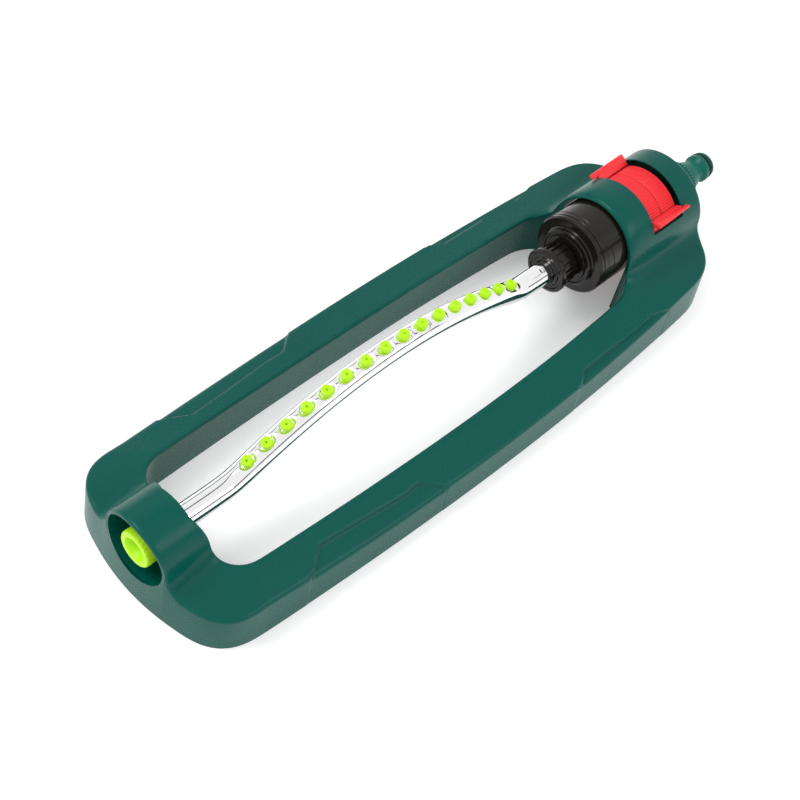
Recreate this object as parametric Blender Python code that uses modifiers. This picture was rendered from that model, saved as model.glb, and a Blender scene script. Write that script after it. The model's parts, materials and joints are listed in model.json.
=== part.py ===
"""Oscillating lawn sprinkler: a sled frame carrying a swinging spray tube and its water motor.

Metres, +Z up. +X runs from the plugged end of the tube to the hose connector. The origin is on
the ground, half way along the sprinkler and on its centre line. Positions along the sprinkler are
given as a distance from the front face of the frame and turned into X by along().
"""

from math import atan2, cos, hypot, pi, radians, sin

import bmesh
import bpy
from mathutils import Matrix, Vector

# Overall
AXIS_HEIGHT = 0.0369
FIT_GAP = 0.0014

# Sled frame
FRAME_LENGTH = 0.3915
FRONT_BULGE = 0.0115
HALF_WIDTH_FRONT = 0.0552
HALF_WIDTH_MIDDLE = 0.0626
HALF_WIDTH_REAR = 0.0521
CORNER_FRONT = 0.0225
CORNER_REAR = 0.0275
RAIL_HEIGHT_FRONT = 0.0268
RAIL_HEIGHT_REAR = 0.0272
RAIL_DIP = 0.0070
RIM_RISE = 0.0083
RAIL_DRAFT = 0.0020
RAIL_EDGE = 0.0025
FRAME_WALL = 0.0024
WINDOW_START = 0.0275
WINDOW_END = FRAME_LENGTH - 0.0615
WINDOW_BULGE = 0.0060
WINDOW_HALF_FRONT = 0.0347
WINDOW_HALF_MIDDLE = 0.0392
WINDOW_HALF_REAR = 0.0289
WINDOW_UNDERCUT = 0.0010
WINDOW_CORNER = 0.018
GROUND_TRIM = 0.0030

# Front boss with the plug hole
BOSS_RADIUS = 0.0217
BOSS_BLEND = 0.012
BOSS_DEPTH = 0.0275
PLUG_HOLE_RADIUS = 0.0195
PLUG_HOLE_DEPTH = 0.0180

# Rear saddle over the motor
SADDLE_WALL = 0.0024
SADDLE_BLEND = 0.009
SADDLE_LENGTH = 0.0646
SADDLE_END = FRAME_LENGTH - 0.0005
SADDLE_START = SADDLE_END - SADDLE_LENGTH
REAR_WALL = 0.0100
RING_TUNNEL_START = SADDLE_START + 0.0181
RING_TUNNEL_END = SADDLE_END - REAR_WALL
SLOT_START = SADDLE_START + 0.0198
SLOT_LENGTH = 0.0252
SLOT_END = SLOT_START + SLOT_LENGTH
SLOT_HALF_ANGLE = radians(62.0)

# Spray tube and nozzles
TUBE_RADIUS = 0.0064
TUBE_WALL = 0.0010
BUSH_RADIUS = TUBE_RADIUS + 0.0052
TUBE_START = 0.0140
ARCH_PEAK = 0.160
ARCH_RISE = 0.0272
ARCH_CURVE = 2.7
ARCH_BLEND = 0.003
NOZZLE_COUNT = 16
NOZZLE_FIRST = 0.0671
NOZZLE_PITCH = 0.01305
NOZZLE_RADIUS = 0.0031
NOZZLE_HEIGHT = 0.0026
NOZZLE_SHANK = 0.0013

# End plug
PLUG_START = 0.0008
PLUG_RADIUS = 0.0100

# Motor capsule: a wide front drum and a narrower rear drum that carries the limit rings
DRUM_START = SADDLE_START - 0.0207
DRUM_RADIUS = 0.0235
DRUM_TUNNEL_RADIUS = DRUM_RADIUS + 0.0011
CAPSULE_WALL = 0.0018
STEP_RADIUS = 0.0171
NECK_RADIUS = TUBE_RADIUS + 0.0023
COLLAR_RADIUS = NECK_RADIUS + 0.0029
COLLAR_RIM_RADIUS = COLLAR_RADIUS + 0.0016
COLLAR_END = DRUM_START - 0.0045
COLLAR_LENGTH = 0.0152
COLLAR_START = COLLAR_END - COLLAR_LENGTH
COLLAR_FLUTES = 16
TUBE_END = COLLAR_END - 0.0012
REAR_DRUM_START = DRUM_START + 0.0336
REAR_DRUM_LENGTH = 0.0294
REAR_DRUM_END = REAR_DRUM_START + REAR_DRUM_LENGTH
REAR_DRUM_RADIUS = 0.0190
CAP_SCREW_CIRCLE = REAR_DRUM_RADIUS - 0.0046

# Gear train: three equal compound gears between the turbine and a fixed gear on the spindle
GEAR_MODULE = 0.00055
WHEEL_TEETH = 30
PINION_TEETH = 10
GEAR_CENTRES = GEAR_MODULE * (WHEEL_TEETH + PINION_TEETH) / 2
GEAR_BACKLASH = 0.00022
SHAFT_RADIUS = 0.0010
TURBINE_RADIUS = 0.0140
TURBINE_BLADES = 8

# Reversing gear
LEVER_DROP = 0.011
LEVER_REACH = REAR_DRUM_RADIUS + 0.0002
RING_RADIUS = REAR_DRUM_RADIUS + 0.0056
RING_TUNNEL_RADIUS = RING_RADIUS + 0.0010
SADDLE_RADIUS = max(DRUM_TUNNEL_RADIUS, RING_TUNNEL_RADIUS) + SADDLE_WALL
RING_GAP = 0.0006
RING_START = SLOT_START + 0.0010
RING_WIDTH = (SLOT_LENGTH - 0.0020 - RING_GAP) / 2
TAB_RADIUS = SADDLE_RADIUS + 0.0040
TAB_ANGLE = radians(55.0)
TAB_HALF_ANGLE = radians(4.0)

# Inlet
SPINDLE_RADIUS = 0.0055
SPINDLE_BORE = 0.0036
TAIL_RADIUS = SPINDLE_RADIUS + 0.0034
CONNECTOR_START = SADDLE_END + FIT_GAP
CONNECTOR_LENGTH = 0.0351
OVERALL_LENGTH = CONNECTOR_START + CONNECTOR_LENGTH
CONNECTOR_RADIUS = TAIL_RADIUS + 0.0037
NIPPLE_RADIUS = 0.0083
NIPPLE_BORE = 0.0043

GAP = 0.0003
GREEN = (0.006, 0.115, 0.085)
BLACK = (0.012, 0.011, 0.010)
LIME = (0.400, 0.750, 0.010)
RED = (0.850, 0.030, 0.040)


def along(distance):
    """X of a point at this distance behind the front face of the frame."""
    return distance - OVERALL_LENGTH / 2


def clear_scene():
    for obj in list(bpy.data.objects):
        bpy.data.objects.remove(obj, do_unlink=True)


def new_collection(name, hidden=False):
    collection = bpy.data.collections.new(name)
    bpy.context.scene.collection.children.link(collection)
    collection.hide_render = hidden
    return collection


def new_material(name, colour, roughness, metallic=0.0):
    material = bpy.data.materials.new(name)
    material.use_nodes = True
    shader = material.node_tree.nodes["Principled BSDF"]
    shader.inputs["Base Color"].default_value = (*colour, 1.0)
    shader.inputs["Roughness"].default_value = roughness
    shader.inputs["Metallic"].default_value = metallic
    material.diffuse_color = (*colour, 1.0)
    return material


clear_scene()
PARTS = new_collection("sprinkler")
CUTTERS = new_collection("cutters", hidden=True)


def link(name, mesh, collection):
    obj = bpy.data.objects.new(name, mesh)
    collection.objects.link(obj)
    if collection is CUTTERS:
        obj.hide_render = True
        obj.display_type = "WIRE"
    return obj


def finish(obj, look):
    """Gives a piece its own copy of a look and smooth shading."""
    colour, roughness, metallic = look
    obj.data.materials.clear()
    obj.data.materials.append(new_material(obj.name, colour, roughness, metallic))
    obj.data.shade_smooth()
    obj.data.set_sharp_from_angle(angle=radians(30))
    return obj


def mesh_from(bm, name):
    mesh = bpy.data.meshes.new(name)
    bmesh.ops.recalc_face_normals(bm, faces=bm.faces)
    bm.to_mesh(mesh)
    bm.free()
    return mesh


def turned(name, profile, collection=None, steps=24, solid=False):
    """A body turned about its own Z axis, which then lies along the sprinkler's length.

    The profile's points are (distance, radius). It runs down the outer side from the rear to the
    front. A ring's profile comes back along its inner side. A solid's starts and ends on the axis.
    """
    bm = bmesh.new()
    points = [bm.verts.new((radius, 0.0, along(place))) for place, radius in profile]
    for first, second in zip(points, points[1:]):
        bm.edges.new((first, second))
    if not solid:
        bm.edges.new((points[-1], points[0]))
    mesh = bpy.data.meshes.new(name)
    bm.to_mesh(mesh)
    bm.free()
    obj = link(name, mesh, collection or PARTS)
    screw = obj.modifiers.new("turn", "SCREW")
    screw.axis = "Z"
    screw.steps = steps
    screw.render_steps = steps
    screw.use_merge_vertices = True
    screw.merge_threshold = 0.00001
    obj.rotation_euler = (0.0, pi / 2, 0.0)
    obj.location = (0.0, 0.0, AXIS_HEIGHT)
    return obj


def prism(name, outline, start, end, collection=None, height=AXIS_HEIGHT):
    """A flat outline of (y, z) points about the axis, drawn out along the sprinkler."""
    bm = bmesh.new()
    face = bm.faces.new([bm.verts.new((along(start), y, z)) for y, z in outline])
    drawn = bmesh.ops.extrude_face_region(bm, geom=[face])
    moved = [item for item in drawn["geom"] if isinstance(item, bmesh.types.BMVert)]
    bmesh.ops.translate(bm, vec=(end - start, 0.0, 0.0), verts=moved)
    obj = link(name, mesh_from(bm, name), collection or PARTS)
    obj.location = (0.0, 0.0, height)
    return obj


def rod(name, radius, start, end, collection=None, y=0.0, z=0.0, segments=24):
    """A plain cylinder along X, at (y, z) from the tube's axis."""
    bm = bmesh.new()
    bmesh.ops.create_cone(
        bm,
        cap_ends=True,
        segments=segments,
        radius1=radius,
        radius2=radius,
        depth=end - start,
        matrix=Matrix.Translation((along((start + end) / 2), 0.0, 0.0)) @ Matrix.Rotation(pi / 2, 4, "Y"),
    )
    obj = link(name, mesh_from(bm, name), collection or PARTS)
    obj.location = (0.0, y, AXIS_HEIGHT + z)
    return obj


def combine(obj, other, operation):
    """Joins another body to a piece, or cuts it away. The other body becomes a helper."""
    if other.name not in CUTTERS.objects:
        PARTS.objects.unlink(other)
        CUTTERS.objects.link(other)
        other.hide_render = True
        other.display_type = "WIRE"
    modifier = obj.modifiers.new(other.name, "BOOLEAN")
    modifier.operation = operation
    modifier.solver = "EXACT"
    modifier.object = other
    return obj


def cut(obj, other):
    return combine(obj, other, "DIFFERENCE")


def join(obj, other):
    return combine(obj, other, "UNION")


def bore(obj, radius, start, end, y=0.0, z=0.0, segments=24):
    number = len(obj.modifiers)
    return cut(obj, rod(f"{obj.name}_bore_{number}", radius, start, end, CUTTERS, y, z, segments))


def arc(radius, first, last, steps, centre=(0.0, 0.0)):
    turn = (last - first) / steps
    return [
        (centre[0] + radius * cos(first + turn * i), centre[1] + radius * sin(first + turn * i))
        for i in range(steps + 1)
    ]


def sector(inner, outer, first, last, steps=6):
    """Outline of a piece of a ring between two angles from +Y."""
    return arc(inner, first, last, steps) + arc(outer, last, first, steps)


# ---------------------------------------------------------------- sled frame


def half_width(place, front, middle, rear):
    """Half width of the barrel-shaped plan at this distance from the front."""
    centre = FRAME_LENGTH / 2
    share = (place - centre) / centre
    return middle - (middle - (front if share < 0 else rear)) * share**2


def rail_height(place):
    """Height of the rim's outer edge: the rails sag a little between the two ends."""
    share = place / FRAME_LENGTH
    level = RAIL_HEIGHT_FRONT + (RAIL_HEIGHT_REAR - RAIL_HEIGHT_FRONT) * share
    return level - RAIL_DIP * (1.0 - (2.0 * share - 1.0) ** 2)


def half_plan(start, end, bulge, widths, corner_front, corner_rear):
    """Half of a plan outline, from the middle of its bulged front to the middle of its rear."""
    shoulder = start + bulge
    front_y = half_width(shoulder + corner_front, *widths) - corner_front
    rear_y = half_width(end - corner_rear, *widths) - corner_rear
    points = [(start + bulge * (i / 5) ** 2, front_y * i / 5) for i in range(5)]
    points += arc(corner_front, pi, pi / 2, 8, (shoulder + corner_front, front_y))
    side_start = shoulder + corner_front
    side_step = (end - corner_rear - side_start) / 14
    points += [
        (side_start + side_step * i, half_width(side_start + side_step * i, *widths))
        for i in range(1, 14)
    ]
    points += arc(corner_rear, pi / 2, 0.0, 8, (end - corner_rear, rear_y))
    points += [(end, rear_y * (2 - i) / 3) for i in range(3)]
    return points


def frame_surface():
    """The frame's outer wall, rim and window wall, for the half on the far side."""
    outer = (HALF_WIDTH_FRONT, HALF_WIDTH_MIDDLE, HALF_WIDTH_REAR)
    window = (WINDOW_HALF_FRONT, WINDOW_HALF_MIDDLE, WINDOW_HALF_REAR)
    flare = -RAIL_DRAFT * GROUND_TRIM / (RAIL_HEIGHT_FRONT - RAIL_EDGE)
    rows = []
    for inset, drop in ((flare, None), (RAIL_DRAFT, RAIL_EDGE), (RAIL_DRAFT + RAIL_EDGE, 0.0)):
        plan = half_plan(
            inset,
            FRAME_LENGTH - inset,
            FRONT_BULGE,
            [width - inset for width in outer],
            CORNER_FRONT - inset,
            CORNER_REAR - inset,
        )
        rows.append([(x, y, -GROUND_TRIM if drop is None else rail_height(x) - drop) for x, y in plan])
    for outset, drop in ((RAIL_EDGE, 0.0), (0.0, RAIL_EDGE / 2), (WINDOW_UNDERCUT, None)):
        plan = half_plan(
            WINDOW_START - outset,
            WINDOW_END + outset,
            WINDOW_BULGE,
            [width + outset for width in window],
            WINDOW_CORNER + outset,
            WINDOW_CORNER + outset,
        )
        rim = [rail_height(x) + RIM_RISE for x, _ in plan]
        rows.append(
            [(x, y, -GROUND_TRIM if drop is None else top - drop) for (x, y), top in zip(plan, rim)]
        )
    return rows


def frame_shell():
    bm = bmesh.new()
    grid = [[bm.verts.new((along(x), y, z)) for x, y, z in row] for row in frame_surface()]
    for lower, upper in zip(grid, grid[1:]):
        for i in range(len(lower) - 1):
            bm.faces.new((lower[i], upper[i], upper[i + 1], lower[i + 1]))
    mesh = bpy.data.meshes.new("sled_frame")
    bm.to_mesh(mesh)
    bm.free()
    obj = link("sled_frame", mesh, PARTS)
    mirror = obj.modifiers.new("far and near", "MIRROR")
    mirror.use_axis = (False, True, False)
    mirror.merge_threshold = 0.00001
    shell = obj.modifiers.new("wall", "SOLIDIFY")
    shell.thickness = FRAME_WALL
    shell.offset = -1.0
    shell.use_even_offset = True
    return obj


def domed_outline(radius, blend, rim, floor):
    """A dome round the axis with hollow blends that run down from it onto the rim."""
    blend_z = rim + blend
    blend_y = ((radius + blend) ** 2 - blend_z**2) ** 0.5
    lean = atan2(blend_z, blend_y)
    right = [(blend_y, floor), (blend_y, rim)]
    right += arc(blend, -pi / 2, lean - pi, 8, (blend_y, blend_z))[1:]
    crown = arc(radius, lean, pi - lean, 18)[1:-1]
    return right + crown + [(-y, z) for y, z in reversed(right)]


def front_boss():
    """A solid boss whose front face leans back with the frame's front wall."""
    rim = rail_height(0.0) + RIM_RISE * 0.7 - AXIS_HEIGHT
    floor = rim - 0.006
    drop = atan2(floor, (BOSS_RADIUS**2 - floor**2) ** 0.5)
    under = arc(BOSS_RADIUS, pi - drop, 2 * pi + drop, 16)
    outline = domed_outline(BOSS_RADIUS, BOSS_BLEND, rim, floor) + under
    boss = prism("front_boss", outline, 0.0, BOSS_DEPTH, CUTTERS)
    slope = RAIL_DRAFT / RAIL_HEIGHT_FRONT
    for vertex in boss.data.vertices:
        if vertex.co.x < along(BOSS_DEPTH / 2):
            side = min(abs(vertex.co.y) / HALF_WIDTH_FRONT, 1.0)
            vertex.co.x += slope * (vertex.co.z + AXIS_HEIGHT) + FRONT_BULGE * side**2
    return boss


def saddle():
    """The arch over the motor, with legs down to the ground and blends onto the rear rim."""
    rim = rail_height(FRAME_LENGTH) + RIM_RISE * 0.6 - AXIS_HEIGHT
    dome = domed_outline(SADDLE_RADIUS, SADDLE_BLEND, rim, rim - 0.004)
    foot = 0.0025 - AXIS_HEIGHT
    leg = SADDLE_RADIUS - 0.0004
    legs = [(-leg, rim - 0.004), (-leg, foot), (leg, foot), (leg, rim - 0.004)]
    return prism("saddle", dome + legs, SADDLE_START, SADDLE_END, CUTTERS)


def arch(radius, foot):
    """An arch over the axis with straight legs down to this height from the axis."""
    return [(-radius, foot), (radius, foot)] + arc(radius, 0.0, pi, 28)


def sled_frame():
    frame = frame_shell()
    ground = [(-0.1, -0.02), (0.1, -0.02), (0.1, 0.0), (-0.1, 0.0)]
    cut(frame, prism("ground", ground, -0.02, FRAME_LENGTH + 0.02, CUTTERS, height=0.0))
    join(frame, front_boss())
    join(frame, saddle())
    bore(frame, PLUG_HOLE_RADIUS, -0.010, PLUG_HOLE_DEPTH, segments=40)
    bore(frame, BUSH_RADIUS + GAP, PLUG_HOLE_DEPTH - 0.005, BOSS_DEPTH + 0.012, segments=32)
    below = -0.006 - AXIS_HEIGHT
    drum = arch(DRUM_TUNNEL_RADIUS, below)
    cut(frame, prism("drum_tunnel", drum, SADDLE_START - 0.008, RING_TUNNEL_START + 0.001, CUTTERS))
    rings = arch(RING_TUNNEL_RADIUS, below)
    cut(frame, prism("ring_tunnel", rings, RING_TUNNEL_START, RING_TUNNEL_END, CUTTERS))
    wedge = [(0.0, 0.0)] + arc(0.045, pi / 2 - SLOT_HALF_ANGLE, pi / 2 + SLOT_HALF_ANGLE, 16)
    cut(frame, prism("slot", wedge, SLOT_START, SLOT_END, CUTTERS))
    bore(frame, TAIL_RADIUS + GAP, RING_TUNNEL_END - 0.002, FRAME_LENGTH + 0.010, segments=32)
    return finish(frame, (GREEN, 0.35, 0.0))


# ---------------------------------------------------------------- spray tube


def arch_height(place):
    """Height of the tube's centre line over its axis: a shallow arc that eases onto the axis."""
    arc_height = ARCH_RISE - ARCH_CURVE * (place - ARCH_PEAK) ** 2
    return (arc_height + hypot(arc_height, ARCH_BLEND)) / 2


def arch_slope(place):
    step = 0.0001
    return (arch_height(place + step) - arch_height(place - step)) / (2 * step)


def nozzle_places():
    """Distances along the sprinkler that space the nozzles evenly along the tube."""
    places = [NOZZLE_FIRST]
    while len(places) < NOZZLE_COUNT:
        place = places[-1]
        places.append(place + NOZZLE_PITCH / hypot(1.0, arch_slope(place + NOZZLE_PITCH / 2)))
    return places


def swept_tube():
    curve = bpy.data.curves.new("spray_tube", "CURVE")
    curve.dimensions = "3D"
    curve.bevel_depth = TUBE_RADIUS
    curve.bevel_resolution = 4
    spline = curve.splines.new("POLY")
    stations = 34
    spline.points.add(stations)
    for i, point in enumerate(spline.points):
        place = TUBE_START + (TUBE_END - TUBE_START) * i / stations
        point.co = (along(place), 0.0, arch_height(place), 1.0)
    guide = bpy.data.objects.new("spray_tube_path", curve)
    PARTS.objects.link(guide)
    bpy.context.view_layer.update()
    mesh = bpy.data.meshes.new_from_object(guide.evaluated_get(bpy.context.evaluated_depsgraph_get()))
    bpy.data.objects.remove(guide, do_unlink=True)
    bm = bmesh.new()
    bm.from_mesh(mesh)
    bmesh.ops.remove_doubles(bm, verts=bm.verts, dist=0.00001)
    bm.to_mesh(mesh)
    bm.free()
    return mesh


def spray_tube():
    tube = link("spray_tube", swept_tube(), PARTS)
    tube.location = (0.0, 0.0, AXIS_HEIGHT)
    wall = tube.modifiers.new("wall", "SOLIDIFY")
    wall.thickness = TUBE_WALL
    wall.offset = -1.0
    bm = bmesh.new()
    for place in nozzle_places():
        bmesh.ops.create_cone(
            bm,
            cap_ends=True,
            segments=8,
            radius1=NOZZLE_SHANK + 0.00035,
            radius2=NOZZLE_SHANK + 0.00035,
            depth=0.006,
            matrix=nozzle_frame(place),
        )
    holes = link("nozzle_holes", mesh_from(bm, "nozzle_holes"), CUTTERS)
    holes.location = (0.0, 0.0, AXIS_HEIGHT)
    cut(tube, holes)
    return finish(tube, ((0.80, 0.80, 0.81), 0.18, 1.0))


def nozzle_frame(place):
    """A nozzle's own frame, seated on top of the tube, square to it."""
    lean = atan2(arch_slope(place), 1.0)
    centre = Vector((along(place), 0.0, arch_height(place)))
    return Matrix.Translation(centre) @ Matrix.Rotation(-lean, 4, "Y") @ Matrix.Translation((0, 0, TUBE_RADIUS))


def nozzle_mesh():
    head = NOZZLE_HEIGHT + GAP
    profile = [
        (0.0006, head),
        (NOZZLE_RADIUS * 0.80, head),
        (NOZZLE_RADIUS, head - 0.0007),
        (NOZZLE_RADIUS, GAP),
        (NOZZLE_SHANK, GAP),
        (NOZZLE_SHANK, -0.0018),
        (0.0006, -0.0018),
    ]
    bm = bmesh.new()
    rim = [bm.verts.new((radius, 0.0, z)) for radius, z in profile]
    edges = [bm.edges.new((first, second)) for first, second in zip(rim, rim[1:] + rim[:1])]
    bmesh.ops.spin(
        bm,
        geom=rim + edges,
        cent=(0, 0, 0),
        axis=(0, 0, 1),
        angle=2 * pi,
        steps=8,
        use_merge=True,
    )
    return mesh_from(bm, "nozzle")


def nozzles():
    mesh = nozzle_mesh()
    for number, place in enumerate(nozzle_places(), 1):
        nozzle = link(f"nozzle_{number:02d}", mesh.copy(), PARTS)
        nozzle.matrix_world = Matrix.Translation((0.0, 0.0, AXIS_HEIGHT)) @ nozzle_frame(place)
        finish(nozzle, (LIME, 0.40, 0.0))


def front_end():
    """The plain bearing in the boss, and the cleaning plug in the tube's front end."""
    web = PLUG_HOLE_DEPTH
    bush = turned(
        "front_bush",
        [
            (BOSS_DEPTH + 0.0015, BUSH_RADIUS),
            (web - GAP, BUSH_RADIUS),
            (web - GAP, BUSH_RADIUS + 0.0024),
            (web - 0.0022, BUSH_RADIUS + 0.0024),
            (web - 0.0022, TUBE_RADIUS + 0.0004),
            (BOSS_DEPTH + 0.0015, TUBE_RADIUS + 0.0004),
        ],
    )
    finish(bush, (BLACK, 0.45, 0.0))
    bore_radius = TUBE_RADIUS - TUBE_WALL
    shank = bore_radius - 0.0008
    groove = TUBE_START + 0.0050
    plug = turned(
        "end_plug",
        [
            (TUBE_START + 0.0110, 0.0),
            (TUBE_START + 0.0110, shank),
            (groove + 0.0009, shank),
            (groove + 0.0009, shank - 0.0010),
            (groove - 0.0009, shank - 0.0010),
            (groove - 0.0009, shank),
            (TUBE_START - 0.0005, shank),
            (TUBE_START - 0.0005, PLUG_RADIUS),
            (PLUG_START + 0.0008, PLUG_RADIUS),
            (PLUG_START, PLUG_RADIUS - 0.0008),
            (PLUG_START, PLUG_RADIUS - 0.0034),
            (PLUG_START + 0.0045, PLUG_RADIUS - 0.0034),
            (PLUG_START + 0.0045, 0.0),
        ],
        solid=True,
    )
    finish(plug, (LIME, 0.40, 0.0))
    finish(torus("plug_o_ring", groove, bore_radius - 0.00085, 0.0006), (BLACK, 0.6, 0.0))


def torus(name, place, radius, thickness):
    count = 6
    profile = [
        (place - thickness * sin(2 * pi * i / count), radius + thickness * cos(2 * pi * i / count))
        for i in range(count)
    ]
    return turned(name, profile, steps=16)


# ---------------------------------------------------------------- motor capsule


def capsule_front_cap():
    """The cap that closes the wide drum, with the step and the neck that hold the tube."""
    face = DRUM_START
    inner = DRUM_RADIUS - CAPSULE_WALL - GAP
    neck = COLLAR_START + 0.0038
    bore_radius = TUBE_RADIUS + 0.0004
    cap = turned(
        "capsule_front_cap",
        [
            (face + 0.0058, inner),
            (face + 0.0030, inner),
            (face + 0.0030, DRUM_RADIUS),
            (face + 0.0008, DRUM_RADIUS),
            (face, DRUM_RADIUS - 0.0008),
            (face, STEP_RADIUS),
            (COLLAR_END + 0.0006, STEP_RADIUS),
            (COLLAR_END + 0.0006, NECK_RADIUS),
            (neck, NECK_RADIUS),
            (neck, NECK_RADIUS - 0.0007),
            (neck + 0.0036, NECK_RADIUS - 0.0007),
            (neck + 0.0036, bore_radius),
            (face - 0.0020, bore_radius),
            (face - 0.0020, 0.0010),
            (face + 0.0004, 0.0010),
            (face + 0.0004, SHAFT_RADIUS + GAP),
            (face + 0.0030, SHAFT_RADIUS + GAP),
            (face + 0.0030, inner - 0.0015),
            (face + 0.0058, inner - 0.0015),
        ],
        steps=28,
    )
    for i in range(4):
        turn = pi / 4 + i * pi / 2
        bore(cap, 0.0017, face - 0.005, face + 0.005, 0.0043 * cos(turn), 0.0043 * sin(turn), 8)
    return finish(cap, (BLACK, 0.30, 0.0))


def capsule_shell():
    """The drum: wide round the gears, narrow where the limit rings ride on it."""
    start, end = DRUM_START + 0.0033, REAR_DRUM_END
    step = REAR_DRUM_START
    shell = turned(
        "capsule_shell",
        [
            (end, REAR_DRUM_RADIUS),
            (step, REAR_DRUM_RADIUS),
            (step, DRUM_RADIUS),
            (start, DRUM_RADIUS),
            (start, DRUM_RADIUS - CAPSULE_WALL),
            (step - CAPSULE_WALL, DRUM_RADIUS - CAPSULE_WALL),
            (step - CAPSULE_WALL, REAR_DRUM_RADIUS - CAPSULE_WALL),
            (end, REAR_DRUM_RADIUS - CAPSULE_WALL),
        ],
        steps=28,
    )
    for number, (y, z) in enumerate(screw_places(), 1):
        join(shell, rod(f"screw_boss_{number}", 0.0029, end - 0.015, end - 0.0034, CUTTERS, y, z, 12))
    for y, z in screw_places():
        bore(shell, 0.0014, end - 0.012, end + 0.004, y, z, 8)
    return finish(shell, (BLACK, 0.30, 0.0))


def capsule_rear_cap():
    """The cap behind the drum. It turns on the spindle and holds the spindle's seal."""
    front, lip = REAR_DRUM_END + GAP, REAR_DRUM_RADIUS - CAPSULE_WALL - GAP
    rear = front + 0.0024
    cap = turned(
        "capsule_rear_cap",
        [
            (rear, REAR_DRUM_RADIUS),
            (front, REAR_DRUM_RADIUS),
            (front, lip),
            (front - 0.0031, lip),
            (front - 0.0031, lip - 0.0017),
            (front, lip - 0.0017),
            (front, SPINDLE_RADIUS + 0.0040),
            (front - 0.0031, SPINDLE_RADIUS + 0.0040),
            (front - 0.0031, SPINDLE_RADIUS + 0.0024),
            (front + 0.0004, SPINDLE_RADIUS + 0.0024),
            (front + 0.0004, SPINDLE_RADIUS + 0.0005),
            (rear, SPINDLE_RADIUS + 0.0005),
        ],
    )
    bore(cap, 0.0019, front - 0.006, rear + 0.006, 0.0, -LEVER_DROP, 16)
    for y, z in screw_places():
        bore(cap, 0.0014, front - 0.006, rear + 0.006, y, z, 8)
    finish(cap, (BLACK, 0.35, 0.0))
    for number, (y, z) in enumerate(screw_places(), 1):
        head = rear + GAP
        screw = rod(f"cap_screw_{number}", 0.0022, head, head + 0.0011, y=y, z=z, segments=12)
        join(screw, rod(f"screw_shank_{number}", 0.0011, head - 0.0125, head + 0.0003, CUTTERS, y, z, 8))
        finish(screw, ((0.55, 0.55, 0.56), 0.35, 1.0))
    seal = turned(
        "spindle_seal",
        [
            (front + 0.0001, SPINDLE_RADIUS + 0.0021),
            (front - 0.0026, SPINDLE_RADIUS + 0.0021),
            (front - 0.0026, SPINDLE_RADIUS + 0.0003),
            (front + 0.0001, SPINDLE_RADIUS + 0.0003),
        ],
    )
    finish(seal, (BLACK, 0.6, 0.0))
    return cap


def screw_places():
    turns = (radians(90.0), radians(210.0), radians(330.0))
    return [(CAP_SCREW_CIRCLE * cos(turn), CAP_SCREW_CIRCLE * sin(turn)) for turn in turns]


def collar_nut():
    """The fluted nut that clamps the tube into the capsule's neck."""
    lip = COLLAR_START + 0.0034
    nut = turned(
        "collar_nut",
        [
            (COLLAR_END, COLLAR_RADIUS),
            (lip, COLLAR_RADIUS),
            (lip, COLLAR_RIM_RADIUS),
            (COLLAR_START + 0.0008, COLLAR_RIM_RADIUS),
            (COLLAR_START, COLLAR_RIM_RADIUS - 0.0008),
            (COLLAR_START, TUBE_RADIUS + 0.0004),
            (lip, TUBE_RADIUS + 0.0004),
            (lip, NECK_RADIUS + GAP),
            (COLLAR_END, NECK_RADIUS + GAP),
        ],
        steps=COLLAR_FLUTES * 2,
    )
    bm = bmesh.new()
    for i in range(COLLAR_FLUTES):
        turn = 2 * pi * i / COLLAR_FLUTES
        bmesh.ops.create_cone(
            bm,
            cap_ends=True,
            segments=6,
            radius1=0.0009,
            radius2=0.0009,
            depth=COLLAR_END - lip - 0.0020,
            matrix=Matrix.Rotation(turn, 4, "X")
            @ Matrix.Translation((along((COLLAR_END + lip) / 2), 0.0, COLLAR_RADIUS + 0.0002))
            @ Matrix.Rotation(pi / 2, 4, "Y"),
        )
    flutes = link("collar_flutes", mesh_from(bm, "collar_flutes"), CUTTERS)
    flutes.location = (0.0, 0.0, AXIS_HEIGHT)
    cut(nut, flutes)
    finish(nut, (BLACK, 0.35, 0.0))
    mouth = COLLAR_START + 0.0038
    seal = turned(
        "tube_seal",
        [
            (mouth + 0.0033, NECK_RADIUS - 0.0010),
            (mouth + 0.0003, NECK_RADIUS - 0.0010),
            (mouth + 0.0003, TUBE_RADIUS + GAP),
            (mouth + 0.0033, TUBE_RADIUS + GAP),
        ],
    )
    finish(seal, (BLACK, 0.6, 0.0))


# ---------------------------------------------------------------- gear train


def gear_outline(teeth, first_tooth):
    """Tooth outline with straight-sided teeth thinned for running clearance."""
    pitch = GEAR_MODULE * teeth / 2
    half_tooth = (pi * GEAR_MODULE / 2 - GEAR_BACKLASH) / 2
    rows = (
        (pitch - 1.05 * GEAR_MODULE, half_tooth + 0.44 * GEAR_MODULE),
        (pitch + 0.80 * GEAR_MODULE, half_tooth - 0.36 * GEAR_MODULE),
    )
    points = []
    for tooth in range(teeth):
        middle = first_tooth + 2 * pi * tooth / teeth
        flank = [(radius, half / radius) for radius, half in rows]
        points += [(radius * cos(middle - half), radius * sin(middle - half)) for radius, half in flank]
        points += [
            (radius * cos(middle + half), radius * sin(middle + half)) for radius, half in reversed(flank)
        ]
    return points


def compound_gear(name, start, wheel_end, end, first_tooth, height):
    """A 30-tooth wheel with a 10-tooth pinion behind it, on one bore."""
    level = AXIS_HEIGHT + height
    wheel = prism(name, gear_outline(WHEEL_TEETH, first_tooth), start, wheel_end, height=level)
    pinion = gear_outline(PINION_TEETH, first_tooth)
    join(wheel, prism(f"{name}_pinion", pinion, wheel_end - 0.0005, end, CUTTERS, level))
    bore(wheel, SHAFT_RADIUS + GAP, start - 0.002, end + 0.002, 0.0, height, 12)
    return finish(wheel, ((0.85, 0.85, 0.82), 0.45, 0.0))


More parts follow.
